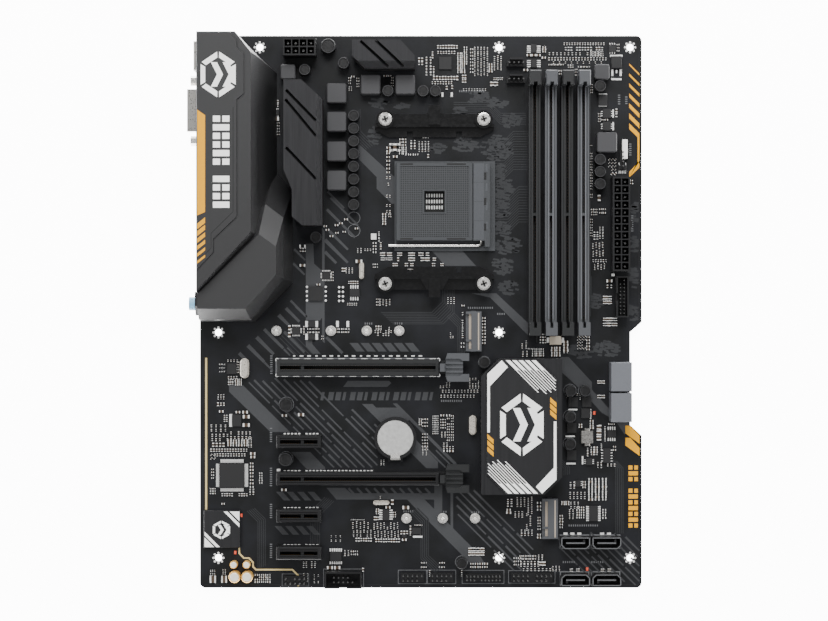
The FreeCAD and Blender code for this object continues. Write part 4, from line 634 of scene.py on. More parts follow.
def make_traces(lot):
    """Bundles of fine raised copper tracks under the mask, with 45 degree bends."""
    bundles = (([(161.0, 196.0), (170.0, 196.0), (176.0, 202.0), (181.0, 202.0)], 14, 0.0, 1.5),
               ([(161.0, 226.0), (168.0, 226.0), (173.0, 231.0), (181.0, 231.0)], 16, 0.0, 1.4),
               ([(100.0, 152.0), (128.0, 152.0), (134.0, 158.0), (134.0, 172.0)], 8, 0.9, -0.9),
               ([(140.0, 152.0), (146.0, 146.0), (146.0, 128.0)], 5, -0.9, -0.5),
               ([(44.0, 138.0), (58.0, 124.0)], 5, 1.2, 1.2),
               ([(84.0, 262.0), (84.0, 250.0), (92.0, 242.0)], 5, 1.1, 0.6),
               ([(66.0, 20.0), (66.0, 40.0), (74.0, 48.0)], 6, -1.0, 0.4),
               ([(120.0, 44.0), (126.0, 38.0), (126.0, 18.0), (134.0, 10.4)], 5, -1.0, -0.5),
               ([(201.0, 62.0), (201.0, 66.0), (196.0, 71.0)], 4, 1.0, 0.2),
               ([(30.0, 44.0), (36.0, 38.0), (36.0, 12.0)], 5, -1.0, -0.4),
               ([(198.0, 160.0), (214.0, 160.0), (216.0, 162.0), (216.0, 172.0)], 1, 1.0, -1.0),
               ([(213.8, 150.0), (213.8, 280.0)], 3, 0.9, 0.0),
               ([(233.6, 30.0), (233.6, 66.0), (230.0, 70.0)], 5, -1.0, 0.0),
               ([(140.0, 262.0), (160.0, 262.0), (166.0, 256.0), (180.0, 256.0)], 6, 0.0, 1.2))
    for points, count, step_x, step_y in bundles:
        for k in range(count):
            lot.print_on(*ribbon([(x + step_x * k, y + step_y * k) for x, y in points], 0.35))


def make_bright_print():
    """Yellow warning stripes at the front edge and the buff line that fences off the sound circuit."""
    yellow = Lot("board_print_yellow", yellow_ink)
    left, right = 237.0, 242.6
    tops = [289.5 - 5.5 * k for k in range(7)]
    for k, top in enumerate(tops):
        thick = 1.0 + 0.36 * k
        yellow.print_on((left, top - thick), (right, top - 5.6 - thick), (right, top - 5.6), (left, top))
    yellow.print_on((241.6, 250.0), (right, 249.2), (right, 235.6), (left, 229.6), (left, 226.6),
                    (right, 232.0), (right, 234.0), (241.6, 235.4))
    for top in (89.5, 82.8):
        yellow.print_on((234.9, top - 4.2), (242.7, top - 10.0), (242.7, top - 5.6), (237.6, top),
                        (234.9, top))
    for k in range(11):
        y = 66.4 - 3.2 * k
        if k == 3:
            continue
        if k % 2:
            yellow.print_on(*rectangle(239.2, y, 5.2, 2.3))
        else:
            yellow.print_on(*rectangle(237.7, y, 2.2, 2.3))
            yellow.print_on(*rectangle(240.8, y, 2.0, 2.3))
    yellow.make("fr4_laminate")
    buff = Lot("sound_circuit_line", gold_ink)
    buff.prism(ribbon([(3.4, 127.0), (3.4, 43.2)], 1.1), 0, ink_height)
    buff.prism(ribbon([(21.7, 23.5), (21.7, 19.0), (24.2, 16.4), (27.0, 16.4), (29.3, 14.0), (29.3, 11.6),
                       (30.9, 10.0), (51.0, 10.0), (54.3, 6.7), (54.3, 0.8)], 0.9), 0, ink_height * 2.5)
    buff.make("fr4_laminate")


# ---- printing on the shroud, the chipset plate and the sound shield ---------------------------------------
def hexagon(x, y, radius, squeeze=1.0):
    """Six corners, with two of its sides upright."""
    angles = [math.radians(30 + 60 * k) for k in range(6)]
    return [(x + radius * squeeze * math.cos(a), y + radius * math.sin(a)) for a in angles]


def hexagon_badge(lot, x, y, radius, z, squeeze=1.0):
    """A plain badge: a thick broken hexagon round two arrowheads."""
    outer, inner = hexagon(x, y, radius, squeeze), hexagon(x, y, radius * 0.74, squeeze)
    for k in range(6):
        j = (k + 1) % 6
        a, b = outer[k], outer[j]
        c, d = inner[j], inner[k]
        near = [tuple(p + (q - p) * share for p, q in zip(start, end))
                for start, end, share in ((a, b, 0.06), (a, b, 0.94), (d, c, 0.94), (d, c, 0.06))]
        lot.print_on(*near, z=z)
    half = radius * 0.52
    for shift in (-0.36, 0.22):
        cx = x + shift * radius * squeeze
        wide = radius * 0.3 * squeeze
        lot.print_on((cx, y - half), (cx + wide, y - half), (cx + wide * 2, y), (cx + wide, y + half),
                     (cx, y + half), (cx + wide, y), z=z)


def make_shroud_print():
    """A yellow edge bar with its hatching, a column of white bars and a badge, on the raised panel."""
    top = extent("io_shroud")[1].z
    yellow = Lot("shroud_print_yellow", yellow_ink)
    left, right = 2.2, 6.4
    yellow.print_on((left, 204.0), (right, 205.8), (right, 257.6), (left, 260.6), z=top)
    for k in range(6):
        high = 203.0 - 4.0 * k
        thick = 3.0 - 0.32 * k
        yellow.print_on((left, high - 3.4 - thick), (right, high - thick), (right, high), (left, high - 3.4),
                        z=top)
    yellow.make("shroud_abs")
    # dark lines along the edges of the raised panel: painted shade where the panel's edge lies in shadow
    shade_lines = Lot("shroud_crease_shade", recess_shade_and_marks)
    shade_line_width = 0.35
    corners = ((21.4, 262.0), (21.4, 206.0), (9.6, 194.4), (9.6, 186.6), (2.4, 178.6))
    for start, end in zip(corners, corners[1:]):
        shade_lines.prism(slanted_bar(*start, *end, shade_line_width), top - 0.02, top + 0.02)
    shade_lines.make("shroud_abs")
    white = Lot("shroud_print_white", white_ink)
    low, high, x0, x1 = 207.4, 258.0, 10.6, 19.4
    rows = 11
    pitch = (high - low) / rows
    for k in range(rows):
        y = high - pitch * (k + 0.5)
        if k == 6:
            continue
        if k % 3 == 1:
            white.print_on(*rectangle((x0 + x1) / 2, y, x1 - x0, pitch * 0.72), z=top)
        else:
            for side in (-1, 1):
                white.print_on(*rectangle((x0 + x1) / 2 + side * 2.5, y, 3.8, pitch * 0.72), z=top)
    hexagon_badge(white, 13.4, 279.4, 12.6, top, 0.86)
    white.make("shroud_abs")


def make_plate_print():
    """The black chipset plate: white corner bands, tapering stripes, two yellow hatches and a plain badge."""
    low, high = extent("chipset_faceplate")
    x, y, top = (low.x + high.x) / 2, (low.y + high.y) / 2, high.z
    white = Lot("chipset_plate_white", white_ink)
    yellow = Lot("chipset_plate_yellow", yellow_ink)
    for turn in (1, -1):
        def at(*outline):
            return [(x + turn * u, y + turn * v) for u, v in outline]
        white.print_on(*at((-18.8, 28.8), (-11.0, 36.3), (-7.6, 32.6), (-17.4, 22.2), (-17.4, -3.0),
                           (-18.8, -3.0)), z=top)
        for k in range(3):
            v = -3.8 - 3.4 * k
            yellow.print_on(*at((-18.8, v), (-18.8, v - 2.6), (-15.4, v - 5.6), (-15.4, v - 3.0)), z=top)
        for k, end in enumerate((8.7, 13.0, 15.7, 18.7, 18.7)):
            start = -8.8 + 3.5 * k
            wide = min(2.35, 18.7 - start)
            bend = min(start + 5.4, 18.7 - wide)
            low_v = 36.3 - (bend - start)
            white.print_on(*at((start, 36.3), (start + wide, 36.3), (bend + wide, low_v), (bend, low_v)),
                           z=top)
            narrow = 0.62
            for shift in (0.0, wide - narrow):
                run = min(end, 18.7 - narrow) - bend - shift
                if run > 0.5:
                    a = bend + shift
                    white.print_on(*at((a, low_v), (a + narrow, low_v), (a + narrow + run, low_v - run),
                                       (a + run, low_v - run)), z=top)
    hexagon_badge(white, x, y + 1.2, 17.5, top, 0.78)
    white.make("printed_plate")
    yellow.make("printed_plate")


def make_shield_print():
    """Two white corners with a band beside each, and a small plain badge."""
    top = extent("audio_shield")[1].z
    white = Lot("sound_shield_print", white_ink)
    white.print_on((16.6, 42.3), (21.9, 42.3), (21.9, 37.0), z=top)
    white.print_on((13.2, 42.3), (15.3, 42.3), (21.9, 35.7), (21.9, 33.6), z=top)
    white.print_on((2.7, 28.0), (2.7, 22.7), (8.0, 22.7), z=top)
    white.print_on((2.7, 31.2), (2.7, 29.1), (9.1, 22.7), (11.2, 22.7), z=top)
    hexagon_badge(white, 12.0, 32.2, 5.2, top, 1.05)
    white.make("printed_plate")


# ---- details that sit on the CAD pieces --------------------------------------------------------------------
def make_socket_details():
    """Painted shade in the pin holes of the socket cover and in the slots of the paler cam strip, a sheet of
    painted shade in the window, and the parts in the window.
    """
    low, high = extent("cpu_socket_cover")
    top = high.z
    x, y = (low.x + high.x) / 2, (low.y + high.y) / 2
    # dark discs of painted shade in the cover's pin holes, and four dark bars of painted shade on the cover
    holes = Lot("socket_pin_hole_shade", recess_shade_and_marks, "socket_cover")
    pitch, half_count, window_half = 1.0, 19, 6
    for i in range(-half_count, half_count + 1):
        for j in range(-half_count, half_count + 1):
            if abs(i) > window_half or abs(j) > window_half:
                holes.prism(circle(x + i * pitch, y + j * pitch, 0.33, 6), top - 0.42, top - 0.37)
    for x0, x1 in ((110.6, 117.6), (136.2, 146.6)):
        for side in (-1, 1):
            holes.prism(rectangle((x0 + x1) / 2, y + side * 20.5, x1 - x0, 0.9), top - 0.02, top + 0.03)
    holes.make("socket_lcp")

    strip = Lot("cam_strip", strip_lcp)
    x0, x1 = high.x + 0.5, high.x + 7.9
    teeth = 4
    step = (high.y - low.y - 0.8) / teeth
    for k in range(teeth):
        middle = low.y + 0.4 + step * (k + 0.5)
        strip.prism(rectangle((x0 + x1) / 2 - 0.9, middle, x1 - x0 - 1.8, step - 0.3), top - 0.02, top + 0.06)
        strip.prism(rectangle(x1 - 0.3, middle + step * 0.25, 1.0, step * 0.4), top - 0.02, top + 0.06)
    strip.make("socket_lcp")
    # dark blocks of painted shade in the cam strip's slots, and a dark sheet of painted shade under the parts
    # in the window
    slots = Lot("cam_strip_slot_shade", recess_shade_and_marks)
    for k in (-1, 0, 1):
        slots.block(high.x + 6.8, y + 14.0 * k, top - 0.79, 1.24, 3.9, 0.9)
    slots.block(x, y, 1.2, 11.0, 11.6, 0.05)
    slots.make("socket_lcp")
    window = Lot("window_capacitors", tin)
    for i in range(7):
        for j in range(3):
            window.block(x + (i - 3) * 1.42, y + (j - 1) * 3.3 + 0.3, 1.24, 0.8, 2.0, 0.6, 0.12)
    window.make("tinned_copper")


def make_screw_details():
    """Dark crosses of painted shade in the screw heads' cross recesses, and the solder cups under the small
    card nuts.
    """
    # flat dark crosses on the screw heads: painted shade in their recesses
    recess = Lot("screw_recess_shade", recess_shade_and_marks)
    low, high = extent("cooler_bracket_screws")
    radius = 3.6
    for x in (low.x + radius, high.x - radius):
        for y in (low.y + radius, high.y - radius):
            for degrees in (25, 115):
                recess.prism(turned(rectangle(x, y, 3.6, 0.8), x, y, degrees), high.z - 0.02, high.z + 0.02)
    recess.make("black_steel")
    washers = Lot("nut_rims", plated_nickel)
    for x, y in card_nuts:
        washers.post(x, y, [(1.22, 0.02), (1.22, 1.6), (0.7, 2.0), (0.2, 2.1)], 20)
    washers.make("nickel")


card_nuts = [(x, 141.9) for x in (42.3, 72.3, 92.1, 110.0)] + [(x, 38.4) for x in (114.0, 134.0, 151.9)]


def make_can_details():
    """A pale ring and a dark polarity mark on each black can, and the bare tops of the gold cans."""
    rims = Lot("can_rims", can_rim)
    marks = Lot("can_marks", recess_shade_and_marks)
    rim_z, mark_z = 6.99, (6.78, 6.84)
    for x, y, radius in black_cans:
        ring(rims, x, y, radius - 0.1, 0.4, rim_z, 0.05, 24)
        inner = radius - 1.0
        arc = [(x + inner * math.cos(math.radians(a)), y + inner * math.sin(math.radians(a)))
               for a in range(130, 231, 20)]
        marks.prism(arc, *mark_z)
    rims.make("can_black")
    marks.make("can_black")
    tops = Lot("bare_can_tops", pale_can_top)
    for x, y, radius, height in ((19.0, 13.2, 2.1, 5.4), (26.0, 13.2, 2.1, 5.4), (19.5, 6.7, 3.1, 7.0),
                                 (26.4, 6.7, 3.1, 7.0)):
        rim = radius * 0.78
        tops.post(x, y, [(rim, height - 0.25), (rim, height), (radius * 0.66, height + 0.06)], 24)
    tops.make("can_gold")


black_cans = [(85.0, from_top(44.6 + 6.99 * k), 3.1) for k in range(8)]
black_cans += [(71.0, from_top(6.4), 4.0), (58.1, from_top(19.4), 3.1), (79.4, from_top(15.8), 3.1),
               (64.2, from_top(111.4), 3.1), (103.8, from_top(31.0), 3.1), (123.1, from_top(31.1), 3.1),
               (129.9, from_top(31.1), 3.1), (47.7, 101.3, 3.7), (47.5, 71.3, 3.7), (144.4, 14.2, 3.1),
               (204.3, 109.0, 3.1), (212.3, 109.0, 3.1), (204.0, 94.6, 3.1), (204.0, 79.6, 3.1),
               (156.9, 124.6, 3.1)]
black_cans += [(board_width - 23.4, from_top(d), 3.1) for d in (28.3, 68.7, 75.4, 82.1)]


def slanted_bar(x0, y0, x1, y1, width):
    """The outline of a straight bar between two points."""
    length = math.hypot(x1 - x0, y1 - y0)
    a, b = -(y1 - y0) / length * width / 2, (x1 - x0) / length * width / 2
    return [(x0 + a, y0 + b), (x0 - a, y0 - b), (x1 - a, y1 - b), (x1 + a, y1 + b)]


def make_slot_details():
    """Bright solder tabs along the armoured slot, and strips of painted highlight along the rims of the
    memory slots.
    """
    low, high = extent("pcie_x16_shield")
    tabs = Lot("slot_armour_tabs", tin)
    count = 14
    for k in range(count):
        x = low.x + 5.0 + k * (high.x - low.x - 9.0) / (count - 1)
        for y in (low.y + 0.35, high.y - 0.35):
            tabs.block(x, y, high.z - 0.02, 3.4, 0.5, 0.06)
    for x in (low.x + 0.9, high.x - 0.9):
        for y in (low.y + 0.9, high.y - 0.9):
            ring(tabs, x, y, 1.0, 0.35, high.z, 0.05, 14)
    tabs.make("stainless_shell")
    # pale strips along both lips of memory slots 2 and 4: painted highlight where their edges catch the light
    rims = Lot("memory_slot_rim_highlights", pale_nylon_and_rim_highlight)
    for number in (2, 4):
        low, high = extent(f"dimm_slot_{number}")
        x = (low.x + high.x) / 2
        slot_top = 8.9
        for side in (-1, 1):
            rims.block(x + side * 1.15, (low.y + high.y) / 2 + 0.5, slot_top - 0.01,
                       0.4, high.y - low.y - 17.0, 0.05)
    rims.make("grey_nylon")
    # pale strips on the tops of the drive ports' walls and on their tongues: painted highlight where the
    # light falls on them
    rims = Lot("drive_port_rim_highlights", pale_ink_and_rim_highlight)
    rim_low, rim_high, rim_width = 8.4, 8.45, 0.45
    for x, y, side in drive_ports:
        near, far = y - side * 2.9, y + side * 2.9
        rims.prism(rectangle(x, near, 15.0, rim_width), rim_low, rim_high)
        rims.prism(rectangle(x, far, 11.6, rim_width), rim_low, rim_high)
        for end in (-1, 1):
            rims.prism(rectangle(x + end * 7.6, y - side * 0.8, 0.5, 3.8), rim_low, rim_high)
            cut_corner = slanted_bar(x + end * 7.6, y + side * 1.1, x + end * 5.8, far, rim_width)
            rims.prism(cut_corner, rim_low, rim_high)
        rims.prism(rectangle(x, y, 10.2, 0.6), 7.6, 7.66)
    rims.make("black_nylon")
    strips = Lot("card_socket_strips", buff_nylon)
    for name in ("m2_socket_upper", "m2_socket_lower"):
        low, high = extent(name)
        strips.block(low.x + 2.6, (low.y + high.y) / 2, high.z - 2.2, 1.8, high.y - low.y - 3.4, 0.6)
        strips.block(high.x - 1.6, (low.y + high.y) / 2, high.z - 0.02, 0.7, high.y - low.y - 2.2, 0.06)
    strips.make("charcoal_nylon")
    lamps = Lot("indicator_lamps", red_lens)
    for x, y in ((22.8, 40.0), (217.7, 96.5), (213.7, 10.3), (19.5, 19.5)):
        lamps.block(x, y, 0.02, 1.3, 1.9, 0.7, 0.2)
    lamps.make("jack_plastic")


circles_on_board = [(47.5, 71.3, 4.1), (47.7, 101.3, 4.2), (85.0, from_top(100.6), 3.5),
                    (85.0, from_top(107.6), 3.5), (144.4, 14.2, 3.6), (204.3, 109.0, 3.6),
                    (212.3, 109.0, 3.6), (204.0, 94.6, 3.6), (204.0, 79.6, 3.6), (156.9, 124.6, 3.4)]


# ---- small surface parts ---------------------------------------------------------------------------------
class Parts:
    """The lots that the small surface parts go into."""

    def __init__(self):
        self.ends = Lot("chip_part_ends", tin)
        self.ceramic = Lot("ceramic_capacitors", ceramic)
        self.glass = Lot("chip_resistors", resistor_glass)
        self.bodies = Lot("chip_packages", epoxy)
        self.leads = Lot("chip_leads", tin)
        self.pads = Lot("solder_pads", tin)

    def chip(self, x, y, length, width, height, degrees, resistor):
        """A two-ended part: a body between two tinned ends, on its solder."""
        end = length * 0.25
        c, s = math.cos(math.radians(degrees)), math.sin(math.radians(degrees))
        body = self.glass if resistor else self.ceramic
        body.block(x, y, 0.05, length - 2 * end, width * 0.94, height, 0.05, degrees)
        for side in (-1, 1):
            shift = side * (length - end) / 2
            self.ends.block(x + shift * c, y + shift * s, 0.0, end, width, height + 0.06, 0.1, degrees)

    def bank(self, x, y, columns, rows, pitch_x, pitch_y, degrees=90, size=1.6, resistors=0.4, keep=1.0,
             stagger=0.0):
        """A grid of two-ended parts whose middle is x, y."""
        for i in range(columns):
            for j in range(rows):
                if chance.random() > keep:
                    continue
                px = x + (i - (columns - 1) / 2) * pitch_x
                py = y + (j - (rows - 1) / 2) * pitch_y + (stagger if i % 2 else 0.0)
                resistor = chance.random() < resistors
                grown = size * chance.uniform(0.86, 1.06)
                self.chip(px, py, grown, grown * 0.5, 0.4 if resistor else grown * 0.42, degrees, resistor)

    def package(self, x, y, dx, dy, height, on_x=0, on_y=0, pitch=1.27, reach=1.0, lead=0.42):
        """A moulded chip. on_x leads leave each side that faces X, and on_y leave each side that faces Y."""
        self.bodies.block(x, y, 0.08, dx, dy, height, 0.12)
        for side in (-1, 1):
            for k in range(on_x):
                py = y + (k - (on_x - 1) / 2) * pitch
                self.lead(x + side * dx / 2, py, side * reach, 0, height, lead)
            for k in range(on_y):
                px = x + (k - (on_y - 1) / 2) * pitch
                self.lead(px, y + side * dy / 2, 0, side * reach, height, lead)

    def lead(self, x, y, out_x, out_y, height, width):
        """A gull-wing lead: out of the body, down and out along the board."""
        reach = abs(out_x + out_y)
        ux, uy = out_x / reach, out_y / reach
        middle = height * 0.5
        knee = reach * 0.4
        profile = [(0, middle - 0.1), (knee, middle - 0.1), (knee + 0.12, 0.02), (reach, 0.02), (reach, 0.2),
                   (knee + 0.25, 0.2), (knee + 0.14, middle + 0.1), (0, middle + 0.1)]
        half = width / 2
        rings = []
        for side in (-half, half):
            rings.append([(x + ux * d - uy * side, y + uy * d + ux * side, z) for d, z in profile])
        self.leads.loft(rings)
        self.pads.block(x + ux * reach * 0.85, y + uy * reach * 0.85, 0, max(abs(out_x) * 0.6, width * 1.2),
                        max(abs(out_y) * 0.6, width * 1.2), 0.06)

    def make(self):
        for lot, slot in ((self.ends, "tinned_copper"), (self.ceramic, "mould_compound"),
                          (self.glass, "mould_compound"), (self.bodies, "mould_compound"),
                          (self.leads, "tinned_copper"), (self.pads, "tinned_copper")):
            lot.make(slot)


def make_small_parts():
    """Resistors, small capacitors and leaded chips, in the groups that the board's circuits form."""
    parts = Parts()
    make_audio_and_io_parts(parts)
    make_slot_area_parts(parts)
    make_lower_parts(parts)
    make_processor_parts(parts)
    make_memory_side_parts(parts)
    parts.make()


def make_audio_and_io_parts(parts):
    """The rear strip: the sound circuit, the network circuit and the super I/O chip."""
    parts.package(17.7, 121.0, 5.4, 6.0, 0.9, 0, 0)
    for group in ((12.2, 121.4, 2, 3, 1.8, 2, 0, 1.3), (18, 116.2, 4, 1, 1.5, 2, 90, 1.3),
                  (18, 125.4, 4, 1, 1.7, 1.6, 90, 1.2), (21, 121.8, 1, 5, 1.8, 1.4, 0, 1.3),
                  (21.2, 113.6, 2, 4, 2, 1, 0, 1.6, 0.1), (17, 113.6, 3, 2, 1.1, 1.6, 90, 1.4),
                  (11.6, 105.4, 3, 2, 1.5, 1.6, 90, 1.2), (11.6, 101.4, 3, 1, 1.6, 1.6, 90, 1.9, 0),
                  (11.8, 97.4, 1, 1, 1.6, 1.6, 0, 2.4, 0)):
        parts.bank(*group)
    parts.package(20.3, 92.4, 5.2, 6.6, 1.1)
    parts.pads.block(17.0, 92.4, 0, 1.7, 7.0, 0.35, 0.12)
    for group in ((21, 97, 1, 1, 1.6, 1.6, 0, 2.4, 0), (25, 97, 1, 1, 1.8, 1.6, 0, 2.8, 0),
                  (25.6, 92.2, 1, 2, 1.8, 4.6, 0, 3.6, 0), (14.2, 93.6, 2, 2, 1.2, 2.2, 90, 1.6),
                  (10.2, 88.2, 4, 2, 2.6, 2.4, 90, 1.4, 0.4, 0.9),
                  (11, 83, 5, 2, 2.1, 2.4, 90, 1.5, 0.4, 0.9),
                  (22.4, 84.2, 6, 2, 2.1, 2.6, 90, 1.5, 0.4, 0.92),
                  (20.8, 80, 4, 3, 3, 1.3, 0, 2.2, 0.4, 0.9), (10.2, 79, 4, 1, 1.9, 2, 90, 2.2, 0),
                  (27.6, 80.4, 2, 4, 1.4, 1.5, 90, 1.2), (16, 76, 14, 1, 1.5, 1.5, 90, 1.6, 0.4, 0.95),
                  (16.4, 73.4, 12, 1, 1.5, 1.5, 90, 1.6, 0.4, 0.9), (7.2, 72.4, 2, 2, 1.8, 2, 45, 1.3),
                  (29.2, 73.2, 1, 2, 1.5, 1.9, 0, 2.8, 0)):
        parts.bank(*group)
    # the super I/O chip's leads stand round the CAD package
    for k in range(32):
        d = (k - 15.5) * 0.4
        for side in (-1, 1):
            parts.lead(17.7 + side * 7.0, 62.1 + d, side * 1.6, 0, 1.4, 0.22)
            parts.lead(17.7 + d, 62.1 + side * 7.0, 0, side * 1.6, 1.4, 0.22)
    for group in ((28.6, 66, 1, 4, 1.5, 1.8, 0, 1.9), (28.6, 58.6, 1, 4, 1.5, 1.9, 0, 1.9),
                  (33.6, 60.6, 1, 5, 1.5, 1.35, 0, 1.8, 0.9), (28.6, 53, 2, 2, 1.8, 1.8, 90, 1.5),
                  (18.4, 51.4, 12, 1, 1.35, 1.5, 90, 1.6, 0.4, 0.9), (7.1, 53.4, 2, 3, 1.7, 1.3, 0, 1.3),
                  (7, 63, 1, 4, 1.5, 1.6, 0, 1.5), (12.8, 46.4, 1, 1, 1.5, 1.5, 0, 1.8, 0),
                  (7.2, 4.8, 1, 3, 1.5, 1.1, 0, 3.2, 0), (7, 8.4, 3, 2, 1.1, 1.9, 90, 1.1),
                  (13.4, 4.8, 1, 3, 1.5, 1.1, 0, 3, 0), (13.4, 8.8, 2, 2, 1.3, 1.7, 90, 1.1),
                  (34.6, 5.2, 4, 4, 2.3, 1.3, 0, 1.7, 0.4, 0.95)):
        parts.bank(*group)
    parts.package(53.1, 142.0, 4.6, 4.6, 0.9, 4, 6, 0.75, 0.7, 0.34)
    for group in ((49.4, 143.6, 1, 1, 1.5, 1.5, 90, 2.6, 0), (49.4, 139.8, 1, 1, 1.5, 1.5, 90, 2.6, 0),
                  (57.4, 142.2, 1, 3, 1.5, 1.6, 90, 1.3)):
        parts.bank(*group)
    for x, top in ((58.9, 145.6), (64.4, 145.6), (58.9, 138.6), (64.4, 138.6), (75.9, 145.6), (81.6, 145.6)):
        parts.pads.block(x, top, 0, 1.5, 3.4, 0.5, 0.15)
    parts.bodies.block(61.7, 145.6, 0.05, 4.0, 3.6, 1.6, 0.2)
    parts.bodies.block(61.7, 138.6, 0.05, 4.0, 3.6, 1.6, 0.2)
    for group in ((62.6, 142, 4, 2, 1.7, 1.9, 0, 1.5, 0.5), (78.6, 142, 4, 2, 2, 1.7, 0, 1.6, 0.5),
                  (67.6, 138.2, 1, 2, 1.5, 1.4, 0, 1.2)):
        parts.bank(*group)


def make_slot_area_parts(parts):
    """Pads and parts round the card slots and the battery."""
    pad_pitch = 2.0
    for row_y, count in ((85.0, 4), (64.5, 19), (44.1, 4), (23.6, 4)):
        places = [46.8 + pad_pitch * k for k in range(5)] + [58.8 + pad_pitch * k for k in range(count)]
        for x in places:
            parts.pads.block(x, row_y, 0, 1.2, 0.9, 0.25, 0.08)
    parts.pads.block(43.4, 64.9, 0, 1.9, 1.5, 0.3, 0.1)
    for k in range(18):
        parts.pads.block(52.0 + 4.1 * k, 128.0, 0, 2.0 if k % 3 else 1.2, 0.7, 0.2, 0.06)
    for group in ((46.6, 95.2, 1, 1, 1.5, 1.5, 0, 3, 0), (55.8, 95.6, 1, 1, 1.5, 1.5, 0, 3.6, 0),
                  (46.4, 54.2, 1, 1, 1.5, 1.5, 0, 2.8, 0), (100.8, 69.2, 2, 2, 1.4, 1.8, 90, 1.2),
                  (139, 139.4, 2, 2, 1.4, 1.9, 90, 1.2, 0.4, 0.9), (98.6, 143.6, 2, 2, 1.6, 1.4, 0, 1.6),
                  (101.2, 140.6, 7, 2, 1.45, 1.7, 90, 1.3, 0.4, 0.85),
                  (104.4, 142.6, 1, 2, 1.6, 1.4, 90, 1.4), (145, 145, 1, 7, 1.5, 2.1, 90, 1.5, 0.4, 0.9),
                  (145, 134, 1, 2, 1.5, 2, 0, 1.9), (156.7, 142, 1, 9, 1.5, 1.75, 0, 1.9, 0.1)):
        parts.bank(*group)
    # the parts around the battery and left of the chipset
    for group in ((121.6, 91.6, 1, 4, 1.5, 1, 0, 1.6), (124.2, 91.2, 2, 3, 1.8, 1.9, 0, 1.4),
                  (124.2, 80.6, 2, 6, 1.8, 1.7, 0, 1.4, 0.4, 0.9), (130, 90, 2, 9, 1.7, 1.2, 0, 1.4, 0.9),
                  (134.2, 90.6, 2, 4, 1.6, 1.5, 0, 1.3), (138.2, 88.2, 2, 10, 2.2, 1.5, 0, 1.4, 0.6, 0.95),
                  (134.4, 84.6, 2, 2, 1.8, 1.6, 90, 1.4), (137.2, 78.4, 4, 2, 1.7, 2, 90, 1.5, 0.4, 0.9),
                  (137.2, 75.6, 2, 1, 3.2, 2, 0, 2.4), (124, 75.4, 2, 3, 2, 1.5, 90, 1.2),
                  (135.4, 95.2, 2, 1, 3.2, 1, 0, 2.2), (133.6, 111.8, 2, 2, 1.6, 1.6, 90, 1.2, 0.4, 0.8),
                  (137, 112, 2, 2, 1.5, 1.6, 90, 1.2, 0.4, 0.8), (143.6, 108.6, 12, 1, 1.75, 1.5, 90, 1.5),
                  (142.2, 105.8, 11, 1, 1.8, 1.5, 90, 1.5, 0.7),
                  (151.4, 113, 4, 4, 1.6, 1.5, 90, 1.2, 0.4, 0.85)):
        parts.bank(*group)


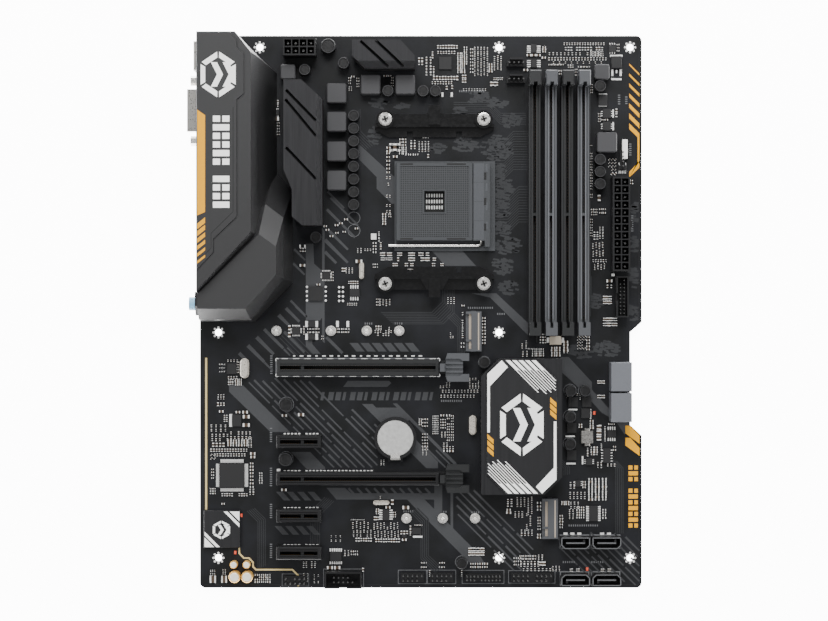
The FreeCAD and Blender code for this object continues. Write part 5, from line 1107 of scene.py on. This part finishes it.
def make_lower_parts(parts):
    """The parts of the lower third, from the clock chip to the drive ports."""
    for k in range(5):
        for side in (-1, 1):
            parts.lead(102.7 + side * 1.95, 40.4 + (k - 2) * 1.2, side * 1.5, 0, 1.4, 0.6)
    for group in ((97.6, 38.4, 3, 1, 1.1, 1.5, 90, 2, 0.2), (98, 42.2, 1, 3, 1.5, 1.2, 0, 1.8),
                  (107.4, 40.4, 1, 3, 1.5, 1.2, 0, 1.4), (103.8, 44.5, 1, 1, 1.5, 1.5, 0, 2.6, 0),
                  (106.2, 47.4, 1, 1, 1.5, 1.5, 90, 2.8, 0), (99.6, 50, 1, 1, 1.5, 1.5, 90, 1.4, 0),
                  (88.6, 34.4, 5, 2, 2.1, 2.2, 90, 1.3, 0.4, 1, 0.5), (87, 37.6, 6, 1, 1.3, 1.5, 0, 1, 0.9),
                  (89.6, 29.8, 6, 2, 1.9, 2.2, 90, 1.3, 0.4, 0.95, 0.4),
                  (90.4, 26.6, 7, 1, 1.35, 1.5, 90, 1.9, 0.5),
                  (102.6, 34, 8, 2, 1.85, 2.1, 90, 1.3, 0.4, 0.95, 0.4),
                  (103, 29.4, 8, 2, 1.85, 2.1, 90, 1.3, 0.4, 0.95, 0.4),
                  (103.6, 26.2, 10, 1, 1.4, 1.5, 90, 1.9, 0.5), (112.8, 30.6, 3, 1, 1.6, 1.5, 90, 1.9, 0),
                  (112.8, 26.6, 1, 1, 1.6, 1.5, 0, 2.8, 0)):
        parts.bank(*group)
    parts.package(112.8, 28.4, 2.6, 1.4, 1.0)
    parts.package(119.6, 31.4, 5.0, 3.6, 1.0)
    parts.pads.block(120.2, 28.2, 0, 5.2, 1.1, 0.25, 0.1)
    for group in ((120.6, 34.6, 3, 1, 1.6, 1.5, 0, 1.2), (116.2, 31.6, 1, 3, 1.6, 1.9, 90, 1.6, 0),
                  (113.6, 44.4, 1, 1, 1.6, 1.5, 0, 3.6, 0)):
        parts.bank(*group)
    parts.package(75.0, 17.4, 6.2, 5.4, 1.6, 0, 6, 1.2, 1.4, 0.7)
    for group in ((73.8, 11.2, 2, 1, 4, 1.5, 0, 3.2, 0), (81, 19.2, 2, 2, 1.9, 1.9, 90, 1.3, 0.4, 0.8),
                  (85.2, 19.3, 2, 2, 2.2, 1.7, 0, 1.6), (58, 12.8, 2, 2, 1.6, 2, 90, 1.5),
                  (62.6, 12.8, 2, 2, 1.8, 2, 90, 1.5, 0.4, 0.9),
                  (58.4, 5.6, 2, 3, 2.2, 1.8, 90, 1.1, 0.4, 0.8),
                  (64.2, 5, 2, 3, 2.2, 1.8, 90, 1.1, 0.4, 0.8), (90, 10, 1, 1, 2.2, 1.8, 90, 2.2, 0)):
        parts.bank(*group)
    for x in (123.6, 133.6):
        parts.bank(x, 12.6, 2, 2, 1.8, 2.4, 0, 1.4)
    for group in ((126.8, 8, 1, 2, 1.8, 2, 90, 1.4), (144.5, 8, 1, 2, 1.8, 2, 90, 1.4),
                  (152.6, 20, 9, 2, 1, 2.4, 90, 1.9, 0.2), (154, 12.4, 4, 2, 2.6, 1.8, 0, 1.9, 0.2)):
        parts.bank(*group)
    for x, y in ((75.0, 28.4), (75.0, 26.0)):
        parts.bank(x, y, 3, 1, 2.5, 1.5, 90, 1.0)
    # between the chipset and the lower card socket
    for group in ((171, 47, 2, 2, 2, 2.4, 90, 1.9), (170.4, 42.4, 1, 2, 2, 1.6, 0, 2.6, 0),
                  (177.2, 47.4, 3, 3, 2, 1.9, 90, 1.4), (182.2, 45, 2, 5, 1.9, 2, 90, 1.4, 0.4, 1, 0.6),
                  (176, 40.6, 3, 2, 1.9, 1.9, 90, 1.5, 0.4, 0.9),
                  (181.4, 36.4, 2, 5, 2, 2, 90, 1.4, 0.4, 0.9, 0.6), (180.4, 30.4, 4, 2, 1.9, 1.9, 90, 1.4),
                  (187.2, 45, 1, 3, 1.9, 1.9, 0, 2.2), (187.2, 35.6, 1, 5, 1.9, 1.6, 0, 1.6),
                  (187.2, 28.6, 1, 2, 1.9, 1.6, 0, 2.2, 0), (199.4, 36.6, 1, 5, 1.9, 1.6, 0, 1.9),
                  (201.6, 46.8, 2, 2, 2.4, 1.2, 0, 1.9, 0)):
        parts.bank(*group)
    parts.package(208.7, 57.6, 3.0, 3.4, 0.9, 3, 0, 1.0, 0.7, 0.3)
    for group in ((205.6, 56.6, 2, 2, 2, 2, 90, 1.6), (212, 57, 1, 3, 2, 1.5, 0, 1.9),
                  (208.4, 51, 5, 2, 2, 2.4, 90, 1.4), (206.8, 45.6, 3, 2, 2, 2.4, 90, 1.4),
                  (205, 40.6, 2, 3, 1.9, 2, 90, 1.3), (210, 41.6, 2, 5, 2.4, 1.4, 0, 1.8)):
        parts.bank(*group)
    for x in (215.6, 219.3, 223.2):
        parts.bank(x, 54.4, 1, 9, 2.0, 1.4, 0, 2.4, 0.9)
    parts.package(217.2, 41.0, 5.0, 8.4, 1.0, 9, 0, 0.95, 1.3, 0.5)
    parts.bank(223.2, 40.8, 1, 4, 2.0, 1.5, 0, 2.0, 0.8)
    for x in (201.8, 205.6, 209.4, 222.0, 225.8):
        parts.pads.block(x, 29.8, 0, 2.2, 1.3, 0.3, 0.1)
    for x in (205.0, 208.6, 222.2, 226.0):
        parts.bank(x, 9.8, 2, 1, 1.0, 1.5, 90, 1.7, 0.1)
    for group in ((181, 16.8, 5, 2, 1.9, 1.6, 0, 1.5), (182, 13.2, 6, 2, 1.9, 1.5, 90, 1.5),
                  (188.6, 13.4, 4, 1, 1.1, 1.5, 90, 2.2, 0.1), (188, 16.8, 2, 2, 2, 1.6, 90, 1.4),
                  (186, 10, 8, 1, 2.1, 1.6, 90, 1.5), (196.6, 10.6, 3, 2, 1.8, 1.7, 90, 1.2),
                  (175.2, 14.6, 2, 3, 2.4, 1.8, 0, 1.6)):
        parts.bank(*group)
    # between the chipset and the front edge
    for y in (106.2, 92.6):
        parts.bank(204.4, y, 3, 1, 1.4, 1.0, 90, 1.1, keep=0.8)
    for x, y in ((205.8, 98.4), (213.4, 98.4), (204.4, 83.6), (204.8, 68.6)):
        parts.pads.block(x, y, 0, 5.2, 0.9, 0.5, 0.15)
    parts.pads.block(215.6, 95.4, 0, 0.9, 4.4, 0.5, 0.15)
    parts.pads.block(211.2, 70.4, 0, 0.9, 4.6, 0.5, 0.15)
    for group in ((209.8, 105.6, 3, 2, 1.5, 2.4, 90, 1.2, 0.4, 0.8),
                  (216.2, 90.2, 1, 4, 2, 1.3, 0, 2.2, 0.1), (210, 89.4, 1, 2, 2, 1.4, 0, 2),
                  (220.2, 85.6, 2, 3, 1.2, 3, 90, 2.6, 0)):
        parts.bank(*group)
    parts.package(227.2, 85.0, 4.6, 4.4, 1.0, 0, 4, 1.2, 1.5, 0.55)
    parts.bank(223.6, 85.0, 1, 5, 1.2, 1.7, 90, 1.4)
    parts.bank(227.2, 90.4, 2, 1, 1.9, 1.4, 0, 1.6, 0.0)
    parts.package(224.6, 73.0, 4.2, 8.0, 1.1, 5, 0, 1.5, 0.9, 0.4)
    parts.bank(217.6, 75.6, 2, 4, 1.9, 1.3, 0, 1.8, 0.2)
    parts.bank(214.0, 75.0, 1, 3, 1.9, 1.6, 90, 1.5)
    parts.package(214.8, 69.6, 3.6, 3.8, 1.0, 3, 0, 1.0, 0.8, 0.3)
    for group in ((220.6, 67.8, 2, 2, 1.9, 1.8, 90, 1.4), (227, 67.8, 3, 1, 1.9, 1.8, 90, 1.5, 0),
                  (228.8, 77, 1, 2, 1.9, 1.8, 0, 1.6, 0), (221.6, 78, 1, 2, 1.9, 1.8, 90, 1.4)):
        parts.bank(*group)
    for y in (113.6, 105.6):
        parts.bank(221.4, y, 4, 1, 1.1, 1.5, 90, 1.8, 0.2)
    parts.bank(203.6, 87.4, 3, 2, 1.8, 2.0, 90, 1.2, keep=0.8)


def make_processor_parts(parts):
    """Decoupling parts round the socket, and the parts of the power stages."""
    for group in ((103.9, 234.6, 1, 6, 2, 2.1, 0, 2, 0.1), (104.1, 242, 1, 2, 2, 1.9, 0, 2.2, 0),
                  (107.6, 243.2, 5, 1, 1, 2, 90, 4.4, 0.9), (107.8, 238, 1, 1, 1, 2, 0, 2.8, 0),
                  (112, 246, 2, 3, 2, 1.6, 0, 1.7, 0.2), (112, 241.4, 2, 4, 2.2, 1.1, 0, 1.9, 0.8),
                  (117.6, 244.6, 2, 3, 1.9, 1.6, 90, 1.6, 0.4),
                  (123.6, 243.6, 4, 4, 1.7, 1.5, 90, 1.3, 0.5), (124.6, 248.6, 2, 1, 1.7, 1.5, 0, 1.5),
                  (117, 239.2, 3, 1, 2.6, 1.5, 0, 1.9, 0.9), (126, 238.4, 1, 1, 2.6, 1.5, 90, 1.9, 0)):
        parts.bank(*group)
    for y, count in ((226.4, 2), (222.8, 1), (216.2, 2), (211.0, 2), (207.6, 2)):
        parts.bank(104.0, y, count, 1, 1.7, 1.5, 90, 1.5, 0.0)
    parts.bank(101.7, 203.6, 1, 5, 1.7, 1.35, 0, 2.0, 0.3)
    parts.bank(104.8, 205.6, 1, 2, 1.7, 1.3, 0, 1.6)
    parts.ends.block(95.9, 193.9, 0.05, 3.0, 3.4, 1.2, 0.2)
    for group in ((98.8, 194, 1, 3, 1.7, 1.9, 90, 1.6), (96.4, 187.8, 1, 4, 1.7, 1.7, 0, 1.9),
                  (99.8, 188.8, 1, 2, 1.7, 2.2, 90, 1.8, 0), (96.8, 177.8, 2, 2, 1.4, 1.6, 0, 1.3)):
        parts.bank(*group)
    for x, count in ((100.8, 3), (104.6, 3), (110.2, 3), (116.8, 4), (122.0, 3), (125.6, 2)):
        parts.bank(x, 184.2, count, 1, 0.95, 1.5, 90, 1.9, 0.3)
    parts.bank(103.0, 181.6, 7, 1, 0.95, 1.5, 90, 1.5, 0.9)
    for x, count in ((116.8, 4), (122.8, 2), (125.4, 3), (129.4, 2), (109.4, 1)):
        parts.bank(x, 181.4, count, 1, 0.95, 1.5, 90, 1.9, 0.3)
    for x, count in ((107.8, 3), (114.0, 2), (117.0, 2), (129.0, 2), (133.6, 2)):
        parts.bank(x, 178.4, count, 1, 1.0, 1.5, 90, 1.7, 0.3)
    parts.bank(116.2, 175.8, 2, 1, 1.6, 1.5, 0, 1.4)
    # below the lower bracket
    for group in ((102, 157.4, 4, 2, 1.8, 2, 90, 1.4, 0.2, 1, 0.4), (98.6, 157.8, 2, 3, 1.5, 1.6, 0, 1.2),
                  (138.6, 158.6, 3, 2, 1.7, 2.2, 90, 1.4, 0.4, 0.85),
                  (145.2, 155.8, 1, 1, 1.7, 2.2, 0, 1.9, 0)):
        parts.bank(*group)
    # rear power stage, and the chips below it
    parts.package(69.7, 172.4, 4.6, 4.4, 0.9, 4, 6, 0.8, 0.7, 0.34)
    parts.bank(73.0, 172.0, 1, 4, 1.5, 1.5, 0, 1.4, 0.0)
    parts.bank(65.4, 167.4, 1, 1, 1.5, 1.5, 0, 2.0, 0.0)
    parts.package(85.4, 162.9, 5.6, 4.6, 1.2)
    for side, y in ((1, 165.9), (-1, 159.9)):
        for k in range(4):
            parts.lead(83.3 + 1.27 * k, y - side * 0.7, 0, side * 1.6, 1.2, 0.6)
    for group in ((84.6, 168.6, 5, 1, 1.2, 1.5, 90, 1.6, 0.4), (84, 156.6, 5, 1, 1.2, 1.5, 90, 1.3, 0.4),
                  (82.4, 175.2, 3, 2, 1.7, 1.8, 90, 1.3), (79.4, 175.6, 2, 1, 1.2, 1.8, 90, 2, 0)):
        parts.bank(*group)
    for x, y in ((77.8, 201.2), (80.6, 203.4), (75.4, 200.2), (75.6, 196.0), (72.6, 194.2), (79.6, 196.6),
                 (86.4, 198.4), (70.4, 197.6), (69.2, 199.6)):
        parts.bank(x, y, 1, 1, 1.0, 1.0, 0, 1.9, 0.0)
    for group in ((88, 186.2, 2, 2, 1.8, 1.4, 90, 1.2), (92.6, 186.6, 3, 1, 1.5, 1.4, 90, 1.3),
                  (87.8, 180.2, 1, 1, 1.7, 1.8, 0, 3.4, 0), (56.6, 188.6, 1, 1, 1.7, 1.8, 0, 3.4, 0.5),
                  (56.8, 186.6, 2, 2, 1.8, 1.6, 0, 1.4, 0.2), (56.6, 178, 1, 1, 1.8, 1.6, 0, 3, 0)):
        parts.bank(*group)
    for x, y0 in ((59.0, 158.6), (69.4, 158.6), (76.8, 158.4), (78.9, 158.4)):
        for k in range(4):
            parts.pads.post(x, y0 + 2.5 * k, [(0.7, 0), (0.6, 0.25), (0.3, 0.4)], 10)
    parts.package(64.2, 162.4, 7.6, 8.0, 1.2)
    # between the shroud and the rear sink
    parts.bank(42.0, 267.4, 2, 2, 2.0, 2.0, 90, 1.7, 0.0)
    parts.package(42.0, 262.4, 3.6, 3.2, 1.0, 0, 4, 0.8, 0.7, 0.34)
    parts.bank(41.6, 258.8, 1, 1, 2.0, 2.0, 0, 4.2, 0.0)
    parts.bank(42.2, 252.8, 2, 5, 2.0, 1.6, 0, 1.4, 0.2, 1.0, 0.7)
    # top middle, right of the upper sink
    parts.package(82.0, 279.0, 1.4, 1.4, 0.8)
    for group in ((82.6, 280, 1, 3, 2, 1.5, 0, 1.5), (87.2, 279, 1, 4, 2, 1.5, 0, 1.5),
                  (83, 275.6, 2, 2, 1.2, 1.4, 90, 1.1), (84.4, 282.2, 1, 1, 2, 1.4, 0, 1.9, 0),
                  (103.6, 282.6, 2, 1, 2.4, 1.4, 0, 1.9), (106.2, 279.4, 1, 4, 2, 1.5, 0, 1.3),
                  (128.4, 294.2, 1, 2, 2, 2, 90, 1.7, 0), (121.8, 290.6, 2, 2, 1.7, 2, 90, 1.9, 0.4),
                  (126.2, 288, 2, 6, 2.3, 1.7, 90, 1.6, 0.4), (129, 284.6, 1, 4, 2, 1.7, 90, 1.6, 0.4)):
        parts.bank(*group)
    parts.package(135.4, 289.6, 7.0, 7.0, 0.9)
    for group in ((136.6, 298.6, 8, 1, 1.5, 1.5, 90, 1.9, 0.4), (136, 295.6, 7, 1, 1.5, 1.5, 90, 1.6, 0.4),
                  (144.2, 289.8, 2, 10, 2.3, 1.15, 0, 1.9, 0.6),
                  (146.6, 293.8, 1, 8, 2.3, 1.3, 0, 1.7, 0.4), (135.6, 281.4, 9, 1, 1.6, 1.5, 90, 2.2, 0.1),
                  (133.6, 278.8, 8, 1, 1.5, 1.5, 90, 1.6, 0.3), (145.8, 281, 2, 2, 1.4, 2.4, 90, 2, 0.1),
                  (136.2, 276, 1, 1, 1.4, 2.4, 90, 2, 0), (139.2, 276.4, 1, 1, 1.4, 2.4, 90, 2, 0)):
        parts.bank(*group)
    for x in (133.8, 139.0):
        parts.pads.block(x, 272.2, 0, 1.2, 2.6, 0.8, 0.3)
    for group in ((155.2, 296.8, 5, 2, 1.75, 2.2, 90, 1.3, 0.2),
                  (155.2, 291.8, 5, 3, 1.75, 2.2, 90, 1.3, 0.3, 1, 0.5),
                  (155.2, 285.4, 5, 3, 1.75, 2.2, 90, 1.3, 0.3, 1, 0.5),
                  (150, 291, 1, 8, 1.75, 1.8, 0, 1.7, 0.5),
                  (164.4, 289.6, 3, 4, 1.8, 2.1, 90, 1.4, 0.3, 1, 0.5),
                  (160.4, 287, 1, 4, 1.8, 1.3, 0, 2, 0.4), (164.6, 281, 5, 1, 1.1, 1.5, 90, 1.4, 0.6),
                  (162.4, 278.2, 4, 1, 1.1, 1.5, 90, 2.2, 0.3), (151.6, 275, 9, 1, 1.5, 1.5, 90, 1.2, 0.8)):
        parts.bank(*group)


def make_memory_side_parts(parts):
    """Above, below and right of the memory slots."""
    for x in (181.6, 187.0):
        for y0 in (296.4, 288.4):
            for k in range(4):
                parts.pads.block(x, y0 + 1.1 * (k - 1.5) + 1.0, 0, 2.1, 0.6, 0.3, 0.1)
    for y in (297.6, 289.4):
        parts.bodies.block(184.3, y, 0.05, 3.2, 4.6, 1.1, 0.15)
    for group in ((184.2, 294, 3, 1, 2.6, 1.5, 0, 2.4, 0), (190, 297.2, 1, 3, 2.2, 1.2, 0, 2, 0),
                  (189.8, 292.6, 1, 1, 2.2, 1.2, 0, 2.2, 0), (179.8, 285.8, 1, 1, 2.2, 1.2, 0, 2.6, 0),
                  (212, 300.3, 16, 1, 1.45, 1.5, 90, 1.3, 0.2),
                  (212, 297.6, 14, 1, 1.55, 1.5, 90, 1.9, 0.6, 0.85),
                  (206.6, 294.8, 14, 1, 2.1, 1.5, 90, 1.5, 0.7, 0.9),
                  (219, 294.8, 5, 3, 1.5, 1.1, 0, 1.3, 0.4),
                  (208.4, 292, 20, 1, 1.65, 1.5, 90, 1.6, 0.2, 0.95),
                  (208.4, 290, 9, 1, 3.3, 1.5, 90, 1.2, 0.1), (196.6, 288.8, 5, 1, 1.7, 1.5, 0, 1.5, 0.3),
                  (204.6, 288, 2, 2, 1.5, 1.2, 0, 1.4, 0.6), (212, 287.6, 4, 1, 1.7, 1.5, 0, 1.5, 0.1),
                  (207.6, 284.6, 1, 3, 1.7, 1.5, 0, 1.3, 0.1), (198.8, 284.6, 1, 2, 1.7, 1.7, 0, 1.6, 0.1),
                  (216.2, 275.6, 1, 4, 1.7, 1.4, 0, 1.2, 0.1),
                  (215.9, 236, 1, 12, 1.7, 1.5, 0, 1.2, 0.1, 0.9),
                  (216, 222.4, 1, 10, 1.7, 1.5, 0, 1.3, 0.1, 0.9)):
        parts.bank(*group)
    parts.bodies.block(229.8, 290.0, 0.05, 6.0, 6.6, 2.2, 0.3)
    parts.pads.block(229.8, 293.6, 0, 7.0, 1.2, 0.9, 0.25)
    parts.pads.block(229.8, 280.8, 0, 5.8, 1.1, 0.4, 0.15)
    for x in (227.6, 232.2):
        parts.pads.block(x, 284.4, 0, 1.2, 3.8, 0.6, 0.2)
    parts.ends.block(229.9, 285.0, 0.05, 0.8, 1.8, 0.8, 0.2)
    parts.package(227.6, 297.8, 4.0, 4.2, 1.1, 0, 3, 1.3, 0.8, 0.4)
    parts.bank(230.8, 298.2, 1, 3, 1.7, 1.7, 0, 1.3, 0.1)
    parts.package(222.4, 269.2, 5.0, 6.2, 1.1)
    parts.pads.block(222.4, 266.0, 0, 4.6, 0.5, 0.3)
    parts.pads.block(222.4, 272.6, 0, 4.6, 0.5, 0.3)
    for y in (261.8, 254.8):
        parts.package(224.6, y, 4.6, 5.0, 1.1, 3, 0, 1.2, 0.8, 0.4)
        parts.pads.block(228.1, y, 0, 0.9, 4.6, 0.5, 0.15)
    for group in ((229.9, 262.2, 1, 2, 1.7, 2.6, 90, 2.2, 0.1), (220.4, 259.6, 1, 4, 1.7, 1.4, 0, 1.3, 0.1),
                  (223.4, 258.4, 2, 1, 1.9, 1.4, 0, 1.7, 0.1)):
        parts.bank(*group)
    parts.package(233.2, 231.8, 4.6, 3.0, 1.0, 0, 5, 0.9, 1.3, 0.4)
    for group in ((227.6, 233.6, 3, 4, 1.7, 1.9, 45, 1.2, 0.2, 0.9),
                  (228.4, 228.6, 2, 1, 1.9, 1.9, 45, 1.8, 0), (220.3, 215.2, 1, 1, 1.9, 1.9, 90, 3.6, 0),
                  (222.2, 208, 2, 2, 2, 2, 0, 1.7, 0), (217.6, 207.4, 2, 3, 2, 1.4, 0, 1.5, 0.1),
                  (216, 199.6, 1, 8, 2, 1.5, 0, 1.3, 0.6, 0.9), (221.6, 196, 2, 4, 1.6, 1.7, 90, 1.4, 0.6),
                  (218.6, 194.4, 2, 2, 1.6, 2.4, 90, 1.8, 0.9),
                  (219.6, 188.8, 4, 2, 1.8, 1.8, 90, 1.4, 0.2, 1, 0.4),
                  (219.8, 184.4, 4, 2, 1.8, 1.8, 90, 1.4, 0.2, 1, 0.4),
                  (220.6, 180.6, 6, 1, 1.4, 1.8, 90, 1.5, 0.5),
                  (220.6, 177.2, 4, 2, 1.8, 1.8, 90, 1.4, 0.2, 1, 0.4),
                  (226, 169.4, 1, 1, 1.8, 1.8, 0, 3, 0), (226, 166.4, 2, 1, 2.2, 1.8, 90, 1.8, 0.6)):
        parts.bank(*group)
    parts.ends.block(228.0, 172.8, 0.05, 1.6, 1.6, 0.8, 0.2)
    for y in (160.2, 157.6):
        parts.bank(224.9, y, 5, 1, 1.0, 1.8, 90, 1.9, 0.1)
    for y in (148.2, 145.4):
        parts.bank(226.4, y, 8, 1, 1.0, 1.8, 90, 1.9, 0.3)
    parts.bank(238.2, 224.0, 1, 2, 1.0, 1.6, 0, 1.6, 0.1)
    # between the memory slots and the chipset
    for group in ((179.4, 129.2, 2, 2, 2.2, 1.7, 90, 1.4, 0), (186.6, 130, 3, 4, 2.3, 1.2, 0, 1.9, 0.6),
                  (189.4, 137.6, 2, 4, 1.8, 1.5, 0, 1.5, 0.3),
                  (179, 134.2, 2, 3, 2.2, 1.7, 90, 1.2, 0.3, 0.8),
                  (182.6, 132, 2, 1, 1.9, 1.7, 0, 1.4, 0.6), (196.4, 130.4, 2, 4, 2.8, 1.4, 0, 2.3, 0.1),
                  (201.9, 133.4, 1, 4, 2.8, 1.6, 0, 2.8, 0.1), (201.9, 131, 2, 2, 1.7, 1.5, 90, 1.3, 0.1),
                  (214.2, 135, 1, 5, 2.8, 1.7, 0, 1.9, 0),
                  (210.6, 135.4, 3, 5, 1.7, 1.6, 30, 1.3, 0.3, 0.9)):
        parts.bank(*group)
    parts.package(186.0, 137.4, 0.8, 4.0, 0.7)


# ---- parts that stand on the board and are too small for the CAD model -------------------------------------
def make_crystals():
    """Low crystal cans with rounded ends and their bases, an oscillator, a small choke and a side header."""
    cans = Lot("crystal_cans", crystal_can)
    for x, y, dx, dy in ((24.6, 121.2, 5.0, 11.0), (150.6, 89.8, 4.0, 10.8), (89.2, 175.1, 2.6, 9.2),
                         (100.1, 47.0, 9.0, 2.4)):
        across, length = min(dx, dy), max(dx, dy)
        upright = dy > dx
        half = (length - across) / 2
        levels = ((across / 2, 0.0), (across / 2, 0.25), (across / 2 - 0.35, 0.3), (across / 2 - 0.35, 2.9),
                  (across / 2 - 0.75, 3.3))
        rings = []
        for radius, z in levels:
            first = [(half + radius * math.cos(a), radius * math.sin(a))
                     for a in [math.radians(-90 + 18 * k) for k in range(11)]]
            second = [(-a, -b) for a, b in first]
            outline = first + second
            if upright:
                outline = [(-b, a) for a, b in outline]
            rings.append([(x + a, y + b, z) for a, b in outline])
        cans.loft(rings, False)
    cans.make("stainless_shell")
    oscillator = Lot("oscillator", moulded("beige_ceramic_lid", "#a09686", "#b4aa9a"))
    oscillator.block(196.2, 136.6, 0.05, 6.4, 4.8, 1.9, 0.3)
    oscillator.make("mould_compound")
    sides = Lot("oscillator_ends", tin)
    for side in (-1, 1):
        sides.block(196.2 + side * 4.0, 136.8, 0, 1.5, 3.0, 1.2, 0.3)
    sides.make("tinned_copper")
    choke = Lot("small_choke", steel_shell)
    choke.prism([(210.4, 80.0), (216.8, 80.0), (216.8, 86.8), (210.4, 86.8)], 0, 3.2)
    choke.block(213.6, 87.4, 0, 3.0, 1.4, 2.4, 0.3)
    choke.block(213.6, 79.2, 0, 3.0, 1.6, 2.4, 0.3)
    choke.make("stainless_shell")
    header = Lot("side_header", white_nylon)
    header.block(234.3, 242.0, 0, 2.9, 10.6, 3.2, 0.2)
    header.make("black_nylon")


def make_hole_pads():
    """Eight tinned pads round each case screw hole, with a ring of bare board between."""
    pads = Lot("screw_hole_pads", tin)
    rear_x, centre_x, front_x = 10.16, 165.1, board_width - 6.35
    top_y, middle_y, bottom_y = from_top(6.35), from_top(163.83), 16.51
    from_hole, pad_radius, thickness = 2.75, 0.62, 0.08
    for x, y in ((33.02, top_y), (centre_x, top_y), (front_x, top_y), (rear_x, middle_y),
                 (centre_x, middle_y), (rear_x, bottom_y), (centre_x, bottom_y), (front_x, bottom_y)):
        for k in range(8):
            a = math.radians(45 * k)
            pad = circle(x + from_hole * math.cos(a), y + from_hole * math.sin(a), pad_radius, 12)
            for z in (0.0, board_under - thickness):
                pads.prism(pad, z, z + thickness)
    pads.make("tinned_copper")


# ---- memory and card slot contacts -------------------------------------------------------------------------
def make_contacts():
    """Gold springs down both sides of each memory slot and card slot."""
    contacts = Lot("slot_contacts", gold)
    for number in range(1, 5):
        low, high = extent(f"dimm_slot_{number}")
        x = (low.x + high.x) / 2
        y0, y1 = low.y + 9.0, high.y - 7.5
        count = 72
        pitch = (y1 - y0) / (count - 1)
        for k in range(count):
            y = y0 + pitch * k
            if abs(y - from_top(99.0)) < 1.4:
                continue
            for side in (-1, 1):
                contacts.block(x + side * 0.72, y, 3.4, 0.22, 0.7, 4.6, 0.05)
    card_contact_pitch = 1.0
    for node in ("pcie_x16_slot_1", "pcie_x16_slot_2", "pcie_x1_slot_1", "pcie_x1_slot_2", "pcie_x1_slot_3"):
        low, high = extent(node)
        long_slot = high.x - low.x > 40
        y = (low.y + high.y) / 2
        x0, x1 = low.x + 3.0, (low.x + 86.0 if long_slot else high.x - 3.0)
        for k in range(int((x1 - x0) / card_contact_pitch)):
            x = x0 + k * card_contact_pitch
            if abs(x - (low.x + 14.25)) < 1.4:
                continue
            for side in (-1, 1):
                contacts.block(x, y + side * 0.92, 4.4, 0.6, 0.2, 5.6, 0.05)
    contacts.make("nickel")


make_board_print()
make_bright_print()
make_shroud_print()
make_plate_print()
make_shield_print()
make_socket_details()
make_screw_details()
make_can_details()
make_slot_details()
make_small_parts()
make_crystals()
make_hole_pads()
make_contacts()

make_stage()
